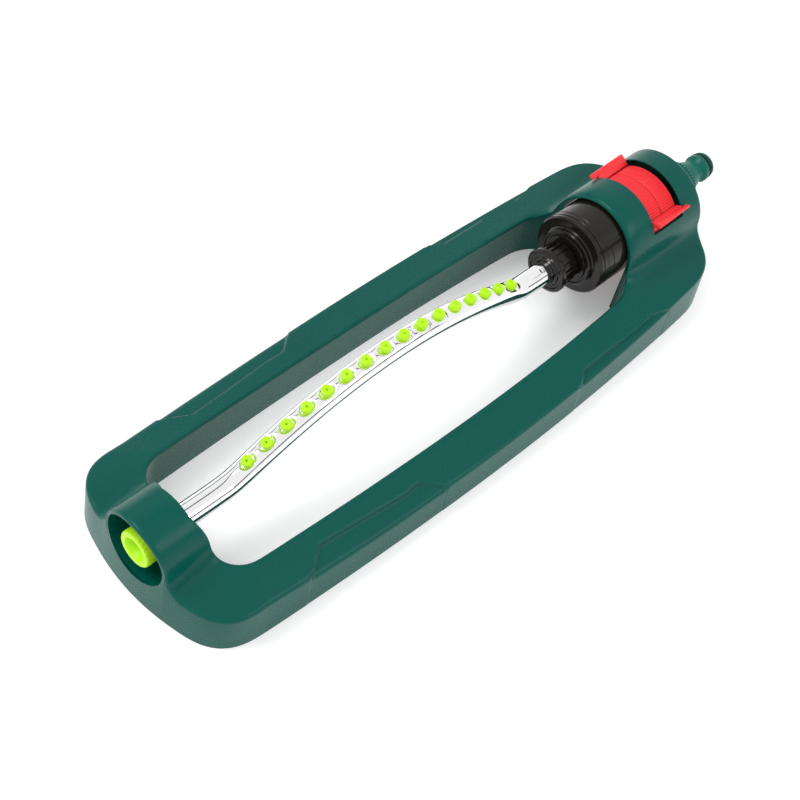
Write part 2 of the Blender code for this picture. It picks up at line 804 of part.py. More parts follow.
def turbine(start):
    """A bladed wheel with its pinion behind it."""
    fan = []
    half = 0.0006
    for blade in range(TURBINE_BLADES):
        turn = 2 * pi * blade / TURBINE_BLADES
        for radius in (0.0040, TURBINE_RADIUS):
            fan.append((radius * cos(turn) + half * sin(turn), radius * sin(turn) - half * cos(turn)))
        for radius in (TURBINE_RADIUS, 0.0040):
            fan.append((radius * cos(turn) - half * sin(turn), radius * sin(turn) + half * cos(turn)))
    wheel = prism("turbine", fan, start, start + 0.0040)
    pinion = gear_outline(PINION_TEETH, radians(72.0))
    join(wheel, prism("turbine_pinion", pinion, start + 0.0035, start + 0.0104, CUTTERS))
    bore(wheel, SHAFT_RADIUS + GAP, start - 0.002, start + 0.013, segments=12)
    return finish(wheel, ((0.80, 0.80, 0.78), 0.45, 0.0))


def gear_plate(name, start, end, centre_hole, port_circle, port_radius):
    """A disc across the drum that carries the offset shaft and lets the water past."""
    plate = rod(name, DRUM_RADIUS - CAPSULE_WALL - GAP, start, end, segments=28)
    bore(plate, centre_hole, start - 0.002, end + 0.002, segments=16)
    bore(plate, SHAFT_RADIUS + GAP, start - 0.002, end + 0.002, 0.0, GEAR_CENTRES, 12)
    for i in range(3):
        turn = radians(210.0 + 60.0 * i)
        y, z = port_circle * cos(turn), port_circle * sin(turn)
        bore(plate, port_radius, start - 0.002, end + 0.002, y, z, 8)
    return finish(plate, (BLACK, 0.45, 0.0))


def gear_train():
    """Turbine, three compound gears on two shafts, and the gear fixed to the spindle."""
    up = pi / 2
    face = DRUM_START
    turbine(face + 0.0064)
    compound_gear("first_gear", face + 0.0140, face + 0.0166, face + 0.0202, up, GEAR_CENTRES)
    compound_gear("second_gear", face + 0.0176, face + 0.0200, face + 0.0234, radians(72.0), 0.0)
    compound_gear("third_gear", face + 0.0210, face + 0.0232, face + 0.0274, up, GEAR_CENTRES)
    fixed = prism("fixed_gear", gear_outline(WHEEL_TEETH, radians(84.0)), face + 0.0244, face + 0.0272)
    bore(fixed, SPINDLE_RADIUS - 0.0005, face + 0.022, face + 0.030, segments=16)
    finish(fixed, ((0.85, 0.85, 0.82), 0.45, 0.0))
    gear_plate("front_gear_plate", face + 0.0114, face + 0.0132, 0.0042, 0.0115, 0.0016)
    gear_plate("rear_gear_plate", face + 0.0286, face + 0.0306, SPINDLE_RADIUS + 0.0005, 0.0120, 0.0026)
    steel = ((0.62, 0.62, 0.63), 0.25, 1.0)
    finish(rod("centre_shaft", SHAFT_RADIUS, face + 0.0008, face + 0.0256, segments=16), steel)
    shaft = rod("offset_shaft", SHAFT_RADIUS, face + 0.0116, face + 0.0304, z=GEAR_CENTRES, segments=16)
    finish(shaft, steel)


# ---------------------------------------------------------------- reversing gear


def trip_lever():
    """The lever behind the capsule, its shaft through the rear cap and its flap inside."""
    drop = -LEVER_DROP
    inside, arm_start = REAR_DRUM_START + 0.0050, REAR_DRUM_END + 0.0046
    lever = rod("trip_lever", 0.0015, inside, arm_start + 0.0005, z=drop, segments=16)
    reach = LEVER_REACH - LEVER_DROP
    arm = [(0.0012, -reach), (0.0018, -0.0026), (0.0075, 0.0012), (0.0070, 0.0034), (0.0, 0.0030)]
    outline = arm + [(-y, z) for y, z in reversed(arm[:-1])]
    join(lever, prism("lever_arm", outline, arm_start, arm_start + 0.0018, CUTTERS, AXIS_HEIGHT + drop))
    flap = [(-0.0050, -0.0008), (0.0050, -0.0008), (0.0050, 0.0008), (-0.0050, 0.0008)]
    join(lever, prism("lever_flap", flap, inside + 0.0008, inside + 0.0100, CUTTERS, AXIS_HEIGHT + drop))
    finish(lever, ((0.80, 0.80, 0.78), 0.45, 0.0))


def trip_spring():
    """The small coil round the lever's shaft."""
    turns = 4
    steps = 8
    count = turns * steps
    curve = bpy.data.curves.new("trip_spring", "CURVE")
    curve.dimensions = "3D"
    curve.bevel_depth = 0.0003
    curve.bevel_resolution = 1
    curve.use_fill_caps = True
    spline = curve.splines.new("POLY")
    spline.points.add(count)
    for i, point in enumerate(spline.points):
        turn = 2 * pi * i / steps
        x = along(REAR_DRUM_END - 0.0120 + 0.0065 * i / count)
        point.co = (x, 0.0025 * cos(turn), 0.0025 * sin(turn), 1.0)
    spring = bpy.data.objects.new("trip_spring", curve)
    PARTS.objects.link(spring)
    spring.location = (0.0, 0.0, AXIS_HEIGHT - LEVER_DROP)
    curve.materials.append(new_material("trip_spring", (0.62, 0.62, 0.63), 0.3, 1.0))


def limit_ring(name, start, inner, tab_turn, stop_turn):
    """One stop ring: its band, the tab that reaches over both bands, and its rear stop."""
    end = start + RING_WIDTH
    ring = turned(name, [(end, RING_RADIUS), (start, RING_RADIUS), (start, inner), (end, inner)], steps=32)
    narrow = TAB_HALF_ANGLE * 0.85
    foot = sector(RING_RADIUS - 0.0010, RING_RADIUS + 0.0015, tab_turn - narrow, tab_turn + narrow)
    join(ring, prism(f"{name}_tab_foot", foot, start + 0.0002, end - 0.0002, CUTTERS))
    over = sector(RING_RADIUS + 0.0005, TAB_RADIUS, tab_turn - TAB_HALF_ANGLE, tab_turn + TAB_HALF_ANGLE)
    reach = RING_START + 2 * RING_WIDTH + RING_GAP
    join(ring, prism(f"{name}_tab", over, RING_START, reach, CUTTERS))
    half = radians(4.0)
    outer = REAR_DRUM_RADIUS + 0.0022
    if inner > outer:
        root = sector(outer - 0.0006, inner + 0.0010, stop_turn - half * 0.8, stop_turn + half * 0.8)
        join(ring, prism(f"{name}_stop_root", root, end - 0.0055, end - 0.0006, CUTTERS))
    stop = sector(REAR_DRUM_RADIUS + 0.0009, outer, stop_turn - half, stop_turn + half)
    join(ring, prism(f"{name}_stop", stop, end - 0.0060, REAR_DRUM_END + 0.0068, CUTTERS))
    return finish(ring, (RED, 0.40, 0.0))


def limit_rings():
    far, near = pi / 2 - TAB_ANGLE, pi / 2 + TAB_ANGLE
    second = RING_START + RING_WIDTH + RING_GAP
    limit_ring("limit_ring_far", RING_START, REAR_DRUM_RADIUS + 0.0006, far, far + pi)
    limit_ring("limit_ring_near", second, REAR_DRUM_RADIUS + 0.0026, near, near + pi)


# ---------------------------------------------------------------- inlet


def inlet_spindle():
    """The hollow spindle the capsule turns on, clamped in the frame's rear wall."""
    nose = DRUM_START + 0.0240
    flange = RING_TUNNEL_END - GAP
    spindle = turned(
        "inlet_spindle",
        [
            (CONNECTOR_START + 0.0040, 0.0),
            (CONNECTOR_START + 0.0040, TAIL_RADIUS),
            (flange, TAIL_RADIUS),
            (flange, 0.0120),
            (flange - 0.0032, 0.0120),
            (flange - 0.0032, SPINDLE_RADIUS),
            (nose + 0.0038, SPINDLE_RADIUS),
            (nose + 0.0038, SPINDLE_RADIUS - 0.0008),
            (nose, SPINDLE_RADIUS - 0.0008),
            (nose, 0.0),
        ],
        solid=True,
    )
    bore(spindle, SPINDLE_BORE, nose + 0.0042, CONNECTOR_START + 0.010)
    bore(spindle, SHAFT_RADIUS + GAP, nose - 0.002, nose + 0.0022, segments=16)
    port = bmesh.new()
    bmesh.ops.create_cone(
        port,
        cap_ends=True,
        segments=16,
        radius1=0.0022,
        radius2=0.0022,
        depth=4 * SPINDLE_RADIUS,
        matrix=Matrix.Translation((along(REAR_DRUM_START + 0.0040), 0.0, 0.0)) @ Matrix.Rotation(pi / 2, 4, "X"),
    )
    ports = link("spindle_ports", mesh_from(port, "spindle_ports"), CUTTERS)
    ports.location = (0.0, 0.0, AXIS_HEIGHT)
    cut(spindle, ports)
    return finish(spindle, (BLACK, 0.40, 0.0))


def hose_connector():
    """The knurled body and the plug-in nipple for a hose end."""
    tip = OVERALL_LENGTH
    start = CONNECTOR_START
    seat = NIPPLE_RADIUS
    connector = turned(
        "hose_connector",
        [
            (tip, 0.0),
            (tip, seat - 0.0012),
            (tip - 0.0008, seat - 0.0005),
            (tip - 0.0022, seat - 0.0005),
            (tip - 0.0022, seat - 0.0024),
            (tip - 0.0050, seat - 0.0024),
            (tip - 0.0050, seat),
            (tip - 0.0080, seat),
            (tip - 0.0094, seat - 0.0020),
            (tip - 0.0140, seat - 0.0020),
            (tip - 0.0152, seat),
            (start + 0.0140, seat + 0.0010),
            (start + 0.0130, CONNECTOR_RADIUS),
            (start, CONNECTOR_RADIUS),
            (start, 0.0),
        ],
        solid=True,
    )
    bore(connector, NIPPLE_BORE, start - 0.003, tip + 0.010)
    bore(connector, TAIL_RADIUS + GAP, start - 0.003, start + 0.0050)
    finish(connector, (GREEN, 0.35, 0.0))
    washer = turned(
        "connector_washer",
        [
            (start - GAP, CONNECTOR_RADIUS - 0.0004),
            (SADDLE_END + GAP, CONNECTOR_RADIUS - 0.0004),
            (SADDLE_END + GAP, TAIL_RADIUS + 0.0005),
            (start - GAP, TAIL_RADIUS + 0.0005),
        ],
    )
    finish(washer, (BLACK, 0.6, 0.0))
    ring = torus("connector_o_ring", tip - 0.0036, seat - 0.0011, 0.0010)
    finish(ring, (BLACK, 0.5, 0.0))
    strainer = rod("inlet_filter", SPINDLE_BORE - GAP, start + 0.0005, start + 0.0020)
    bore(strainer, 0.0006, start - 0.002, start + 0.004, segments=8)
    for i in range(6):
        y, z = 0.0021 * cos(i * pi / 3), 0.0021 * sin(i * pi / 3)
        bore(strainer, 0.0006, start - 0.002, start + 0.004, y, z, 8)
    finish(strainer, ((0.75, 0.75, 0.75), 0.4, 1.0))


sled_frame()
spray_tube()
nozzles()
front_end()
capsule_front_cap()
capsule_shell()
capsule_rear_cap()
collar_nut()
gear_train()
trip_lever()
trip_spring()
limit_rings()
inlet_spindle()
hose_connector()
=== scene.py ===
"""Oscillating lawn sprinkler: the fine surface of every piece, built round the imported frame.

Metres, +Z up. +X runs from the plugged end of the spray tube to the hose nipple.
"""

from __future__ import annotations

import json
import logging
import math
from collections.abc import Sequence
from dataclasses import dataclass, field
from enum import Enum

import bmesh
import bpy
import numpy as np
from mathutils import Matrix, Vector

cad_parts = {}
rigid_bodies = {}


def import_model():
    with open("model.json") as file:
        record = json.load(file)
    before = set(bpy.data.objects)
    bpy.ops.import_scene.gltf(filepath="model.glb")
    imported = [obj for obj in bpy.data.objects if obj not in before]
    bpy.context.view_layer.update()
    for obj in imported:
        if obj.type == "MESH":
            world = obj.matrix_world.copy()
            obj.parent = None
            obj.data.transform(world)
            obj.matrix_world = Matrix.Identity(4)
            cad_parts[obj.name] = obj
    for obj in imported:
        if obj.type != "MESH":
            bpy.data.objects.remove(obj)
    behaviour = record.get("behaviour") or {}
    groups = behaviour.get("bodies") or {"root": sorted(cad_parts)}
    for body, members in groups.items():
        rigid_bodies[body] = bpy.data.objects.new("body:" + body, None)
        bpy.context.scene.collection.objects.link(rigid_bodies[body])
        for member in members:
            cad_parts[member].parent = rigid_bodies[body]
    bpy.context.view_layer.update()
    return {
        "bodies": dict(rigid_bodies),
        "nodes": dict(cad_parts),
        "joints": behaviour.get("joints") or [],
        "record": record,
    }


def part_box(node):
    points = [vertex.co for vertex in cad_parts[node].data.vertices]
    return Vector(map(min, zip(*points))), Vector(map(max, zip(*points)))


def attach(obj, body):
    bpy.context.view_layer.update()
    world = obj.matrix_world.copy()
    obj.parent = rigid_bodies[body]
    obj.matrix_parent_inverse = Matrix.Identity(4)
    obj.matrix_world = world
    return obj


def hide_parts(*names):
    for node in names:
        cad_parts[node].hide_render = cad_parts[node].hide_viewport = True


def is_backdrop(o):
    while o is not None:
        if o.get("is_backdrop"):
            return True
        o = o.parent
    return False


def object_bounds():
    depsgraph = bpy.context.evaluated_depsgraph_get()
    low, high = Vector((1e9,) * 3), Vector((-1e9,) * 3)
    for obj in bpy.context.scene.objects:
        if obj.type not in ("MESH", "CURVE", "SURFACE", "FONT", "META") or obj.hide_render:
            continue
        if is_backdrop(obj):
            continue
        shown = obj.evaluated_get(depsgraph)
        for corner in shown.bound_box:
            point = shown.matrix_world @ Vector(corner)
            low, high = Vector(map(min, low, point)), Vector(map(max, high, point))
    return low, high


LOG = logging.getLogger("sprinkler")
Ring = tuple[float, float]


# ---------------------------------------------------------------- modelling helpers


def deselect() -> None:
    """Leaves nothing selected, in object mode."""
    if bpy.context.mode != "OBJECT":
        bpy.ops.object.mode_set(mode="OBJECT")
    bpy.ops.object.select_all(action="DESELECT")


def name_new(name: str) -> bpy.types.Object:
    """Names the object that a primitive operator has just added.

    Args:
        name: The piece's name.

    Returns:
        The new object, with its place applied to its mesh.
    """
    obj = bpy.context.object
    obj.name = name
    obj.data.name = name
    bpy.ops.object.transform_apply(location=True, rotation=True, scale=True)
    return obj


def pick(obj: bpy.types.Object) -> None:
    """Makes this the only selected object, and the active one."""
    deselect()
    obj.select_set(True)
    bpy.context.view_layer.objects.active = obj


def apply_modifiers(obj: bpy.types.Object) -> None:
    """Applies all of an object's modifiers in their order."""
    pick(obj)
    for modifier in list(obj.modifiers):
        bpy.ops.object.modifier_apply(modifier=modifier.name)


def round_edges(obj: bpy.types.Object, width: float, segments: int = 3, angle: float = 30.0) -> None:
    """Rounds an object's sharp edges with an applied Bevel.

    Args:
        obj: The piece.
        width: Width of the rounding in metres.
        segments: Steps across the rounding.
        angle: Edges sharper than this many degrees are rounded.
    """
    bevel = obj.modifiers.new("edges", "BEVEL")
    bevel.width = width
    bevel.segments = segments
    bevel.limit_method = "ANGLE"
    bevel.angle_limit = math.radians(angle)
    bevel.harden_normals = False
    apply_modifiers(obj)


def smooth(obj: bpy.types.Object, angle: float = 32.0) -> None:
    """Shades a piece smooth, with edges sharper than this angle left crisp."""
    pick(obj)
    bpy.ops.object.shade_smooth_by_angle(angle=math.radians(angle))


def turned(
    name: str, rings: Sequence[Ring], height: float, segments: int = 96, hollow: bool = False
) -> bpy.types.Object:
    """Turns a profile about the sprinkler's axis by extruding a circle ring by ring.

    Args:
        name: The piece's name.
        rings: (x, radius) of each ring, from the first end to the last.
        height: Height of the axis.
        segments: Points round each ring.
        hollow: True joins the last ring to the first, False closes both ends with a disc.

    Returns:
        The new object, with its normals pointing out.
    """
    deselect()
    first_x, first_radius = rings[0]
    bpy.ops.mesh.primitive_circle_add(
        vertices=segments,
        radius=first_radius,
        location=(first_x, 0.0, height),
        rotation=(0.0, math.pi / 2, 0.0),
    )
    obj = name_new(name)
    bpy.ops.object.mode_set(mode="EDIT")
    bpy.ops.mesh.select_all(action="SELECT")
    for (last_x, last_radius), (x, radius) in zip(rings, rings[1:]):
        bpy.ops.mesh.extrude_region_move(TRANSFORM_OT_translate={"value": (x - last_x, 0.0, 0.0)})
        share = radius / last_radius
        bpy.ops.transform.resize(value=(1.0, share, share), center_override=(x, 0.0, height))
    close_turned(obj, segments, hollow)
    return obj


def close_turned(obj: bpy.types.Object, segments: int, hollow: bool) -> None:
    """Closes a ring-by-ring shape between its two open ends and turns its faces outwards."""
    bpy.ops.object.mode_set(mode="OBJECT")
    mesh = bmesh.new()
    mesh.from_mesh(obj.data)
    mesh.verts.ensure_lookup_table()
    first, last = mesh.verts[:segments], mesh.verts[-segments:]
    if hollow:
        for i in range(segments):
            j = (i + 1) % segments
            mesh.faces.new((first[i], first[j], last[j], last[i]))
    else:
        mesh.faces.new(first)
        mesh.faces.new(last)
    bmesh.ops.recalc_face_normals(mesh, faces=mesh.faces)
    mesh.to_mesh(obj.data)
    mesh.free()


def block(name: str, low: Sequence[float], high: Sequence[float]) -> bpy.types.Object:
    """A box between two corners, as a start for shaping or for cutting."""
    deselect()
    centre = [(a + b) / 2 for a, b in zip(low, high)]
    bpy.ops.mesh.primitive_cube_add(size=1.0, location=centre)
    bpy.context.object.scale = [b - a for a, b in zip(low, high)]
    return name_new(name)


def plate(
    name: str, outline: Sequence[tuple[float, float]], start: float, end: float, height: float
) -> bpy.types.Object:
    """A flat outline of (y, z) points about the axis, extruded along X.

    Args:
        name: The piece's name.
        outline: Points about the axis, in order round the outline.
        start: X of the first face.
        end: X of the second face.
        height: Height of the axis.

    Returns:
        The new object.
    """
    deselect()
    bpy.ops.mesh.primitive_circle_add(vertices=len(outline), radius=1.0, fill_type="NGON")
    obj = name_new(name)
    for vertex, (y, z) in zip(obj.data.vertices, outline):
        vertex.co = (start, y, height + z)
    bpy.ops.object.mode_set(mode="EDIT")
    bpy.ops.mesh.select_all(action="SELECT")
    bpy.ops.mesh.extrude_region_move(TRANSFORM_OT_translate={"value": (end - start, 0.0, 0.0)})
    bpy.ops.object.mode_set(mode="OBJECT")
    face_out(obj)
    return obj


def face_out(obj: bpy.types.Object) -> None:
    """Turns all of a piece's faces the same way, outwards where it is closed."""
    pick(obj)
    bpy.ops.object.mode_set(mode="EDIT")
    bpy.ops.mesh.select_all(action="SELECT")
    bpy.ops.mesh.normals_make_consistent(inside=False)
    bpy.ops.object.mode_set(mode="OBJECT")


def arc(radius: float, first: float, last: float, steps: int) -> list[tuple[float, float]]:
    """Points (y, z) along an arc about the axis, angles measured from +Y."""
    turns = np.linspace(first, last, steps + 1)
    return [(radius * math.cos(turn), radius * math.sin(turn)) for turn in turns]


def unite(obj: bpy.types.Object, others: Sequence[bpy.types.Object], operation: str = "UNION") -> None:
    """Joins other bodies to a piece, or cuts them away, and removes them."""
    for other in others:
        modifier = obj.modifiers.new("shape", "BOOLEAN")
        modifier.operation = operation
        modifier.solver = "MANIFOLD"
        modifier.object = other
    apply_modifiers(obj)
    for other in others:
        bpy.data.objects.remove(other, do_unlink=True)


def gather(name: str, parts: Sequence[bpy.types.Object]) -> bpy.types.Object:
    """Joins separate bodies into one object under one name."""
    deselect()
    for part in parts:
        part.select_set(True)
    bpy.context.view_layer.objects.active = parts[0]
    if len(parts) > 1:
        bpy.ops.object.join()
    parts[0].name = name
    return parts[0]


def grid(name: str, points: np.ndarray, wrap: bool = False) -> bpy.types.Object:
    """A grid primitive laid over rows of points.

    Args:
        name: The piece's name.
        points: Places of shape (rows, columns, 3).
        wrap: True closes each row onto itself, as round a tube.

    Returns:
        The new object.
    """
    deselect()
    rows, columns = points.shape[:2]
    laid = np.concatenate([points, points[:, :1]], axis=1) if wrap else points
    across = columns + 1 if wrap else columns
    bpy.ops.mesh.primitive_grid_add(x_subdivisions=across - 1, y_subdivisions=rows - 1, size=1.0)
    obj = name_new(name)
    obj.data.vertices.foreach_set("co", laid.reshape(-1).astype(np.float32))
    obj.data.update()
    if wrap:
        bpy.ops.object.mode_set(mode="EDIT")
        bpy.ops.mesh.select_all(action="SELECT")
        bpy.ops.mesh.remove_doubles(threshold=0.000001)
        bpy.ops.object.mode_set(mode="OBJECT")
    return obj


def ribbed(
    obj: bpy.types.Object,
    height: float,
    count: int,
    depth: float,
    over: float,
    span: Ring,
    first: float = -1.0,
) -> None:
    """Presses grooves along X into the outermost surface of a turned piece.

    Args:
        obj: The turned piece.
        height: Height of its axis.
        count: Ribs round it.
        depth: Depth of the grooves.
        over: Only points further than this from the axis move.
        span: Only points between these two places along X move.
        first: -1.0 puts a rib at +Y, 1.0 a groove.
    """
    for vertex in obj.data.vertices:
        y, z = vertex.co.y, vertex.co.z - height
        distance = math.hypot(y, z)
        if distance > over and span[0] < vertex.co.x < span[1]:
            wave = 0.5 + first * 0.5 * math.cos(count * math.atan2(z, y))
            share = 1.0 - depth * wave / distance
            vertex.co.y, vertex.co.z = y * share, height + z * share


def unit(vectors: np.ndarray) -> np.ndarray:
    """Vectors scaled to length one along their last axis."""
    return vectors / np.maximum(np.linalg.norm(vectors, axis=-1, keepdims=True), 1e-12)


def ease(value: np.ndarray) -> np.ndarray:
    """A smooth step from 0 to 1."""
    clipped = np.clip(value, 0.0, 1.0)
    return clipped * clipped * (3.0 - 2.0 * clipped)


# ---------------------------------------------------------------- finishes


class Shade(Enum):
    """The colours of the sprinkler's mouldings and metals, as linear RGB."""

    FRAME_GREEN = (0.0, 0.074, 0.058)
    CONNECTOR_GREEN = (0.0, 0.115, 0.088)
    MOTOR_BLACK = (0.008, 0.006, 0.005)
    SEAL_BLACK = (0.008, 0.008, 0.008)
    LIME = (0.42, 0.76, 0.006)
    STOP_RED = (0.80, 0.030, 0.038)
    ACETAL = (0.78, 0.78, 0.73)
    BRIGHT_METAL = (0.92, 0.92, 0.93)
    STEEL = (0.56, 0.56, 0.57)


@dataclass(frozen=True)
class Moulded:
    """A moulded plastic: slightly clouded colour, fine grain in gloss and surface.

    Attributes:
        name: The material's name.
        shade: Its colour.
        roughness: Mean roughness.
        spread: How far the roughness wanders either side of the mean.
        grain: Size of the surface grain in metres.
        relief: Height of the surface grain in metres.
        specular: Strength of the surface reflection.
        clouding: How far the colour wanders, as a share.
    """

    name: str
    shade: Shade
    roughness: float = 0.35
    spread: float = 0.05
    grain: float = 0.0006
    relief: float = 0.00001
    specular: float = 0.3
    clouding: float = 0.06

    def make(self) -> bpy.types.Material:
        """Builds the node tree and returns the material."""
        material = bpy.data.materials.new(self.name)
        material.use_nodes = True
        nodes, links = material.node_tree.nodes, material.node_tree.links
        surface = nodes["Principled BSDF"]
        place = nodes.new("ShaderNodeTexCoord")
        cloud = noise(nodes, links, place, 1.0 / 0.035, 3.0)
        colour = nodes.new("ShaderNodeMixRGB")
        colour.inputs["Color1"].default_value = tinted(self.shade, 1.0 - self.clouding)
        colour.inputs["Color2"].default_value = tinted(self.shade, 1.0 + self.clouding)
        links.new(cloud, colour.inputs["Fac"])
        links.new(colour.outputs["Color"], surface.inputs["Base Color"])
        fine = noise(nodes, links, place, 1.0 / self.grain, 4.0)
        gloss = spread_over(nodes, links, fine, self.roughness - self.spread, self.roughness + self.spread)
        links.new(gloss, surface.inputs["Roughness"])
        links.new(bumped(nodes, links, fine, self.relief), surface.inputs["Normal"])
        surface.inputs["Specular IOR Level"].default_value = self.specular
        return material


@dataclass(frozen=True)
class Metal:
    """A bare metal with faint drawing lines along X.

    Attributes:
        name: The material's name.
        shade: Its colour.
        roughness: Mean roughness.
        spread: How far the roughness wanders either side of the mean.
        relief: Height of the drawing lines in metres.
    """

    name: str
    shade: Shade
    roughness: float = 0.08
    spread: float = 0.03
    relief: float = 0.000003

    def make(self) -> bpy.types.Material:
        """Builds the node tree and returns the material."""
        material = bpy.data.materials.new(self.name)
        material.use_nodes = True
        nodes, links = material.node_tree.nodes, material.node_tree.links
        surface = nodes["Principled BSDF"]
        surface.inputs["Metallic"].default_value = 1.0
        surface.inputs["Base Color"].default_value = tinted(self.shade, 1.0)
        place = nodes.new("ShaderNodeTexCoord")
        lines = noise(nodes, links, place, 1.0, 4.0, stretch=(60.0, 1800.0, 1800.0))
        smears = noise(nodes, links, place, 90.0, 4.0)
        gloss = spread_over(nodes, links, smears, self.roughness - self.spread, self.roughness + self.spread)
        links.new(gloss, surface.inputs["Roughness"])
        links.new(bumped(nodes, links, lines, self.relief), surface.inputs["Normal"])
        return material


def tinted(shade: Shade, share: float) -> tuple[float, float, float, float]:
    """A colour made lighter or darker by a share, with full alpha."""
    red, green, blue = (min(1.0, channel * share) for channel in shade.value)
    return red, green, blue, 1.0


def noise(
    nodes: bpy.types.Nodes,
    links: bpy.types.NodeLinks,
    place: bpy.types.Node,
    scale: float,
    detail: float,
    stretch: Sequence[float] | None = None,
) -> bpy.types.NodeSocket:
    """A noise pattern on Object coordinates.

    Args:
        nodes: The material's nodes.
        links: The material's links.
        place: Its Texture Coordinate node.
        scale: Repeats in a metre.
        detail: Levels of detail.
        stretch: Scale along each axis, for lines instead of grains.

    Returns:
        The pattern's output socket, from 0 to 1.
    """
    pattern = nodes.new("ShaderNodeTexNoise")
    pattern.inputs["Scale"].default_value = scale
    pattern.inputs["Detail"].default_value = detail
    source = place.outputs["Object"]
    if stretch is not None:
        mapping = nodes.new("ShaderNodeMapping")
        mapping.inputs["Scale"].default_value = stretch
        links.new(source, mapping.inputs["Vector"])
        source = mapping.outputs["Vector"]
    links.new(source, pattern.inputs["Vector"])
    return pattern.outputs["Fac"]


def spread_over(
    nodes: bpy.types.Nodes, links: bpy.types.NodeLinks, value: bpy.types.NodeSocket, low: float, high: float
) -> bpy.types.NodeSocket:
    """Maps a pattern's 0.3 to 0.7 onto low to high and returns the output socket."""
    remap = nodes.new("ShaderNodeMapRange")
    remap.inputs["From Min"].default_value = 0.3
    remap.inputs["From Max"].default_value = 0.7
    remap.inputs["To Min"].default_value = low
    remap.inputs["To Max"].default_value = high
    links.new(value, remap.inputs["Value"])
    return remap.outputs["Result"]


def bumped(
    nodes: bpy.types.Nodes, links: bpy.types.NodeLinks, value: bpy.types.NodeSocket, relief: float
) -> bpy.types.NodeSocket:
    """A bump of this height in metres and returns its normal socket."""
    bump = nodes.new("ShaderNodeBump")
    bump.inputs["Strength"].default_value = 1.0
    bump.inputs["Distance"].default_value = relief
    links.new(value, bump.inputs["Height"])
    return bump.outputs["Normal"]


class Finishes:
    """Every material of the sprinkler, made once and given out by slot."""

    def __init__(self) -> None:
        """Makes the materials."""
        self.by_slot = {
            "frame_plastic": Moulded("frame_green", Shade.FRAME_GREEN, 0.27, 0.04, 0.0005, 0.000012, 0.15),
            "connector_plastic": Moulded("connector_green", Shade.CONNECTOR_GREEN, 0.30, 0.04, specular=0.2),
            "motor_plastic": Moulded("motor_black", Shade.MOTOR_BLACK, 0.16, 0.04, 0.0012, 0.000006, 0.30),
            "tube_metal": Metal("bright_tube", Shade.BRIGHT_METAL, 0.07, 0.03),
            "nozzle_plastic": Moulded("lime_plastic", Shade.LIME, 0.42, 0.05, 0.0004, 0.00001),
            "stop_plastic": Moulded("stop_red", Shade.STOP_RED, 0.40, 0.05, 0.0004, 0.00001),
            "gear_plastic": Moulded("acetal", Shade.ACETAL, 0.45, 0.05, 0.0004, 0.000008),
            "seal_rubber": Moulded("seal_rubber", Shade.SEAL_BLACK, 0.55, 0.08, 0.0003, 0.000015),
            "steel": Metal("steel", Shade.STEEL, 0.28, 0.06, 0.000004),
        }
        self.made = {slot: finish.make() for slot, finish in self.by_slot.items()}

    def dress(self, obj: bpy.types.Object, slot: str) -> None:
        """Gives a piece the material of a slot of the record."""
        obj.data.materials.clear()
        obj.data.materials.append(self.made[slot])


@dataclass
class Workshop:
    """What every sub-assembly needs: the axis, the finishes and the frame's boxes.

    Attributes:
        height: Height of the tube's axis.
        front: X of the frame's front face.
        finishes: The materials.
        record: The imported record.
        replaced: The CAD nodes that finer pieces stand for so far.
    """

    height: float
    front: float
    finishes: Finishes
    record: dict
    replaced: set[str] = field(default_factory=set)

    def along(self, distance: float) -> float:
        """X of a point at this distance behind the frame's front face."""
        return self.front + distance

    def place(self, obj: bpy.types.Object, slot: str, body: str, *nodes: str) -> bpy.types.Object:
        """Dresses a finished piece, makes it ride on a body and stand for CAD nodes.

        Args:
            obj: The piece.
            slot: Its material slot in the record.
            body: The body that it moves with.
            nodes: The CAD nodes that it replaces.

        Returns:
            The same piece.
        """
        deselect()
        self.finishes.dress(obj, slot)
        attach(obj, body)
        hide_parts(*nodes)
        self.replaced.update(nodes)
        LOG.info("%s: %d faces on %s", obj.name, len(obj.data.polygons), body)
        return obj


# ---------------------------------------------------------------- sled frame


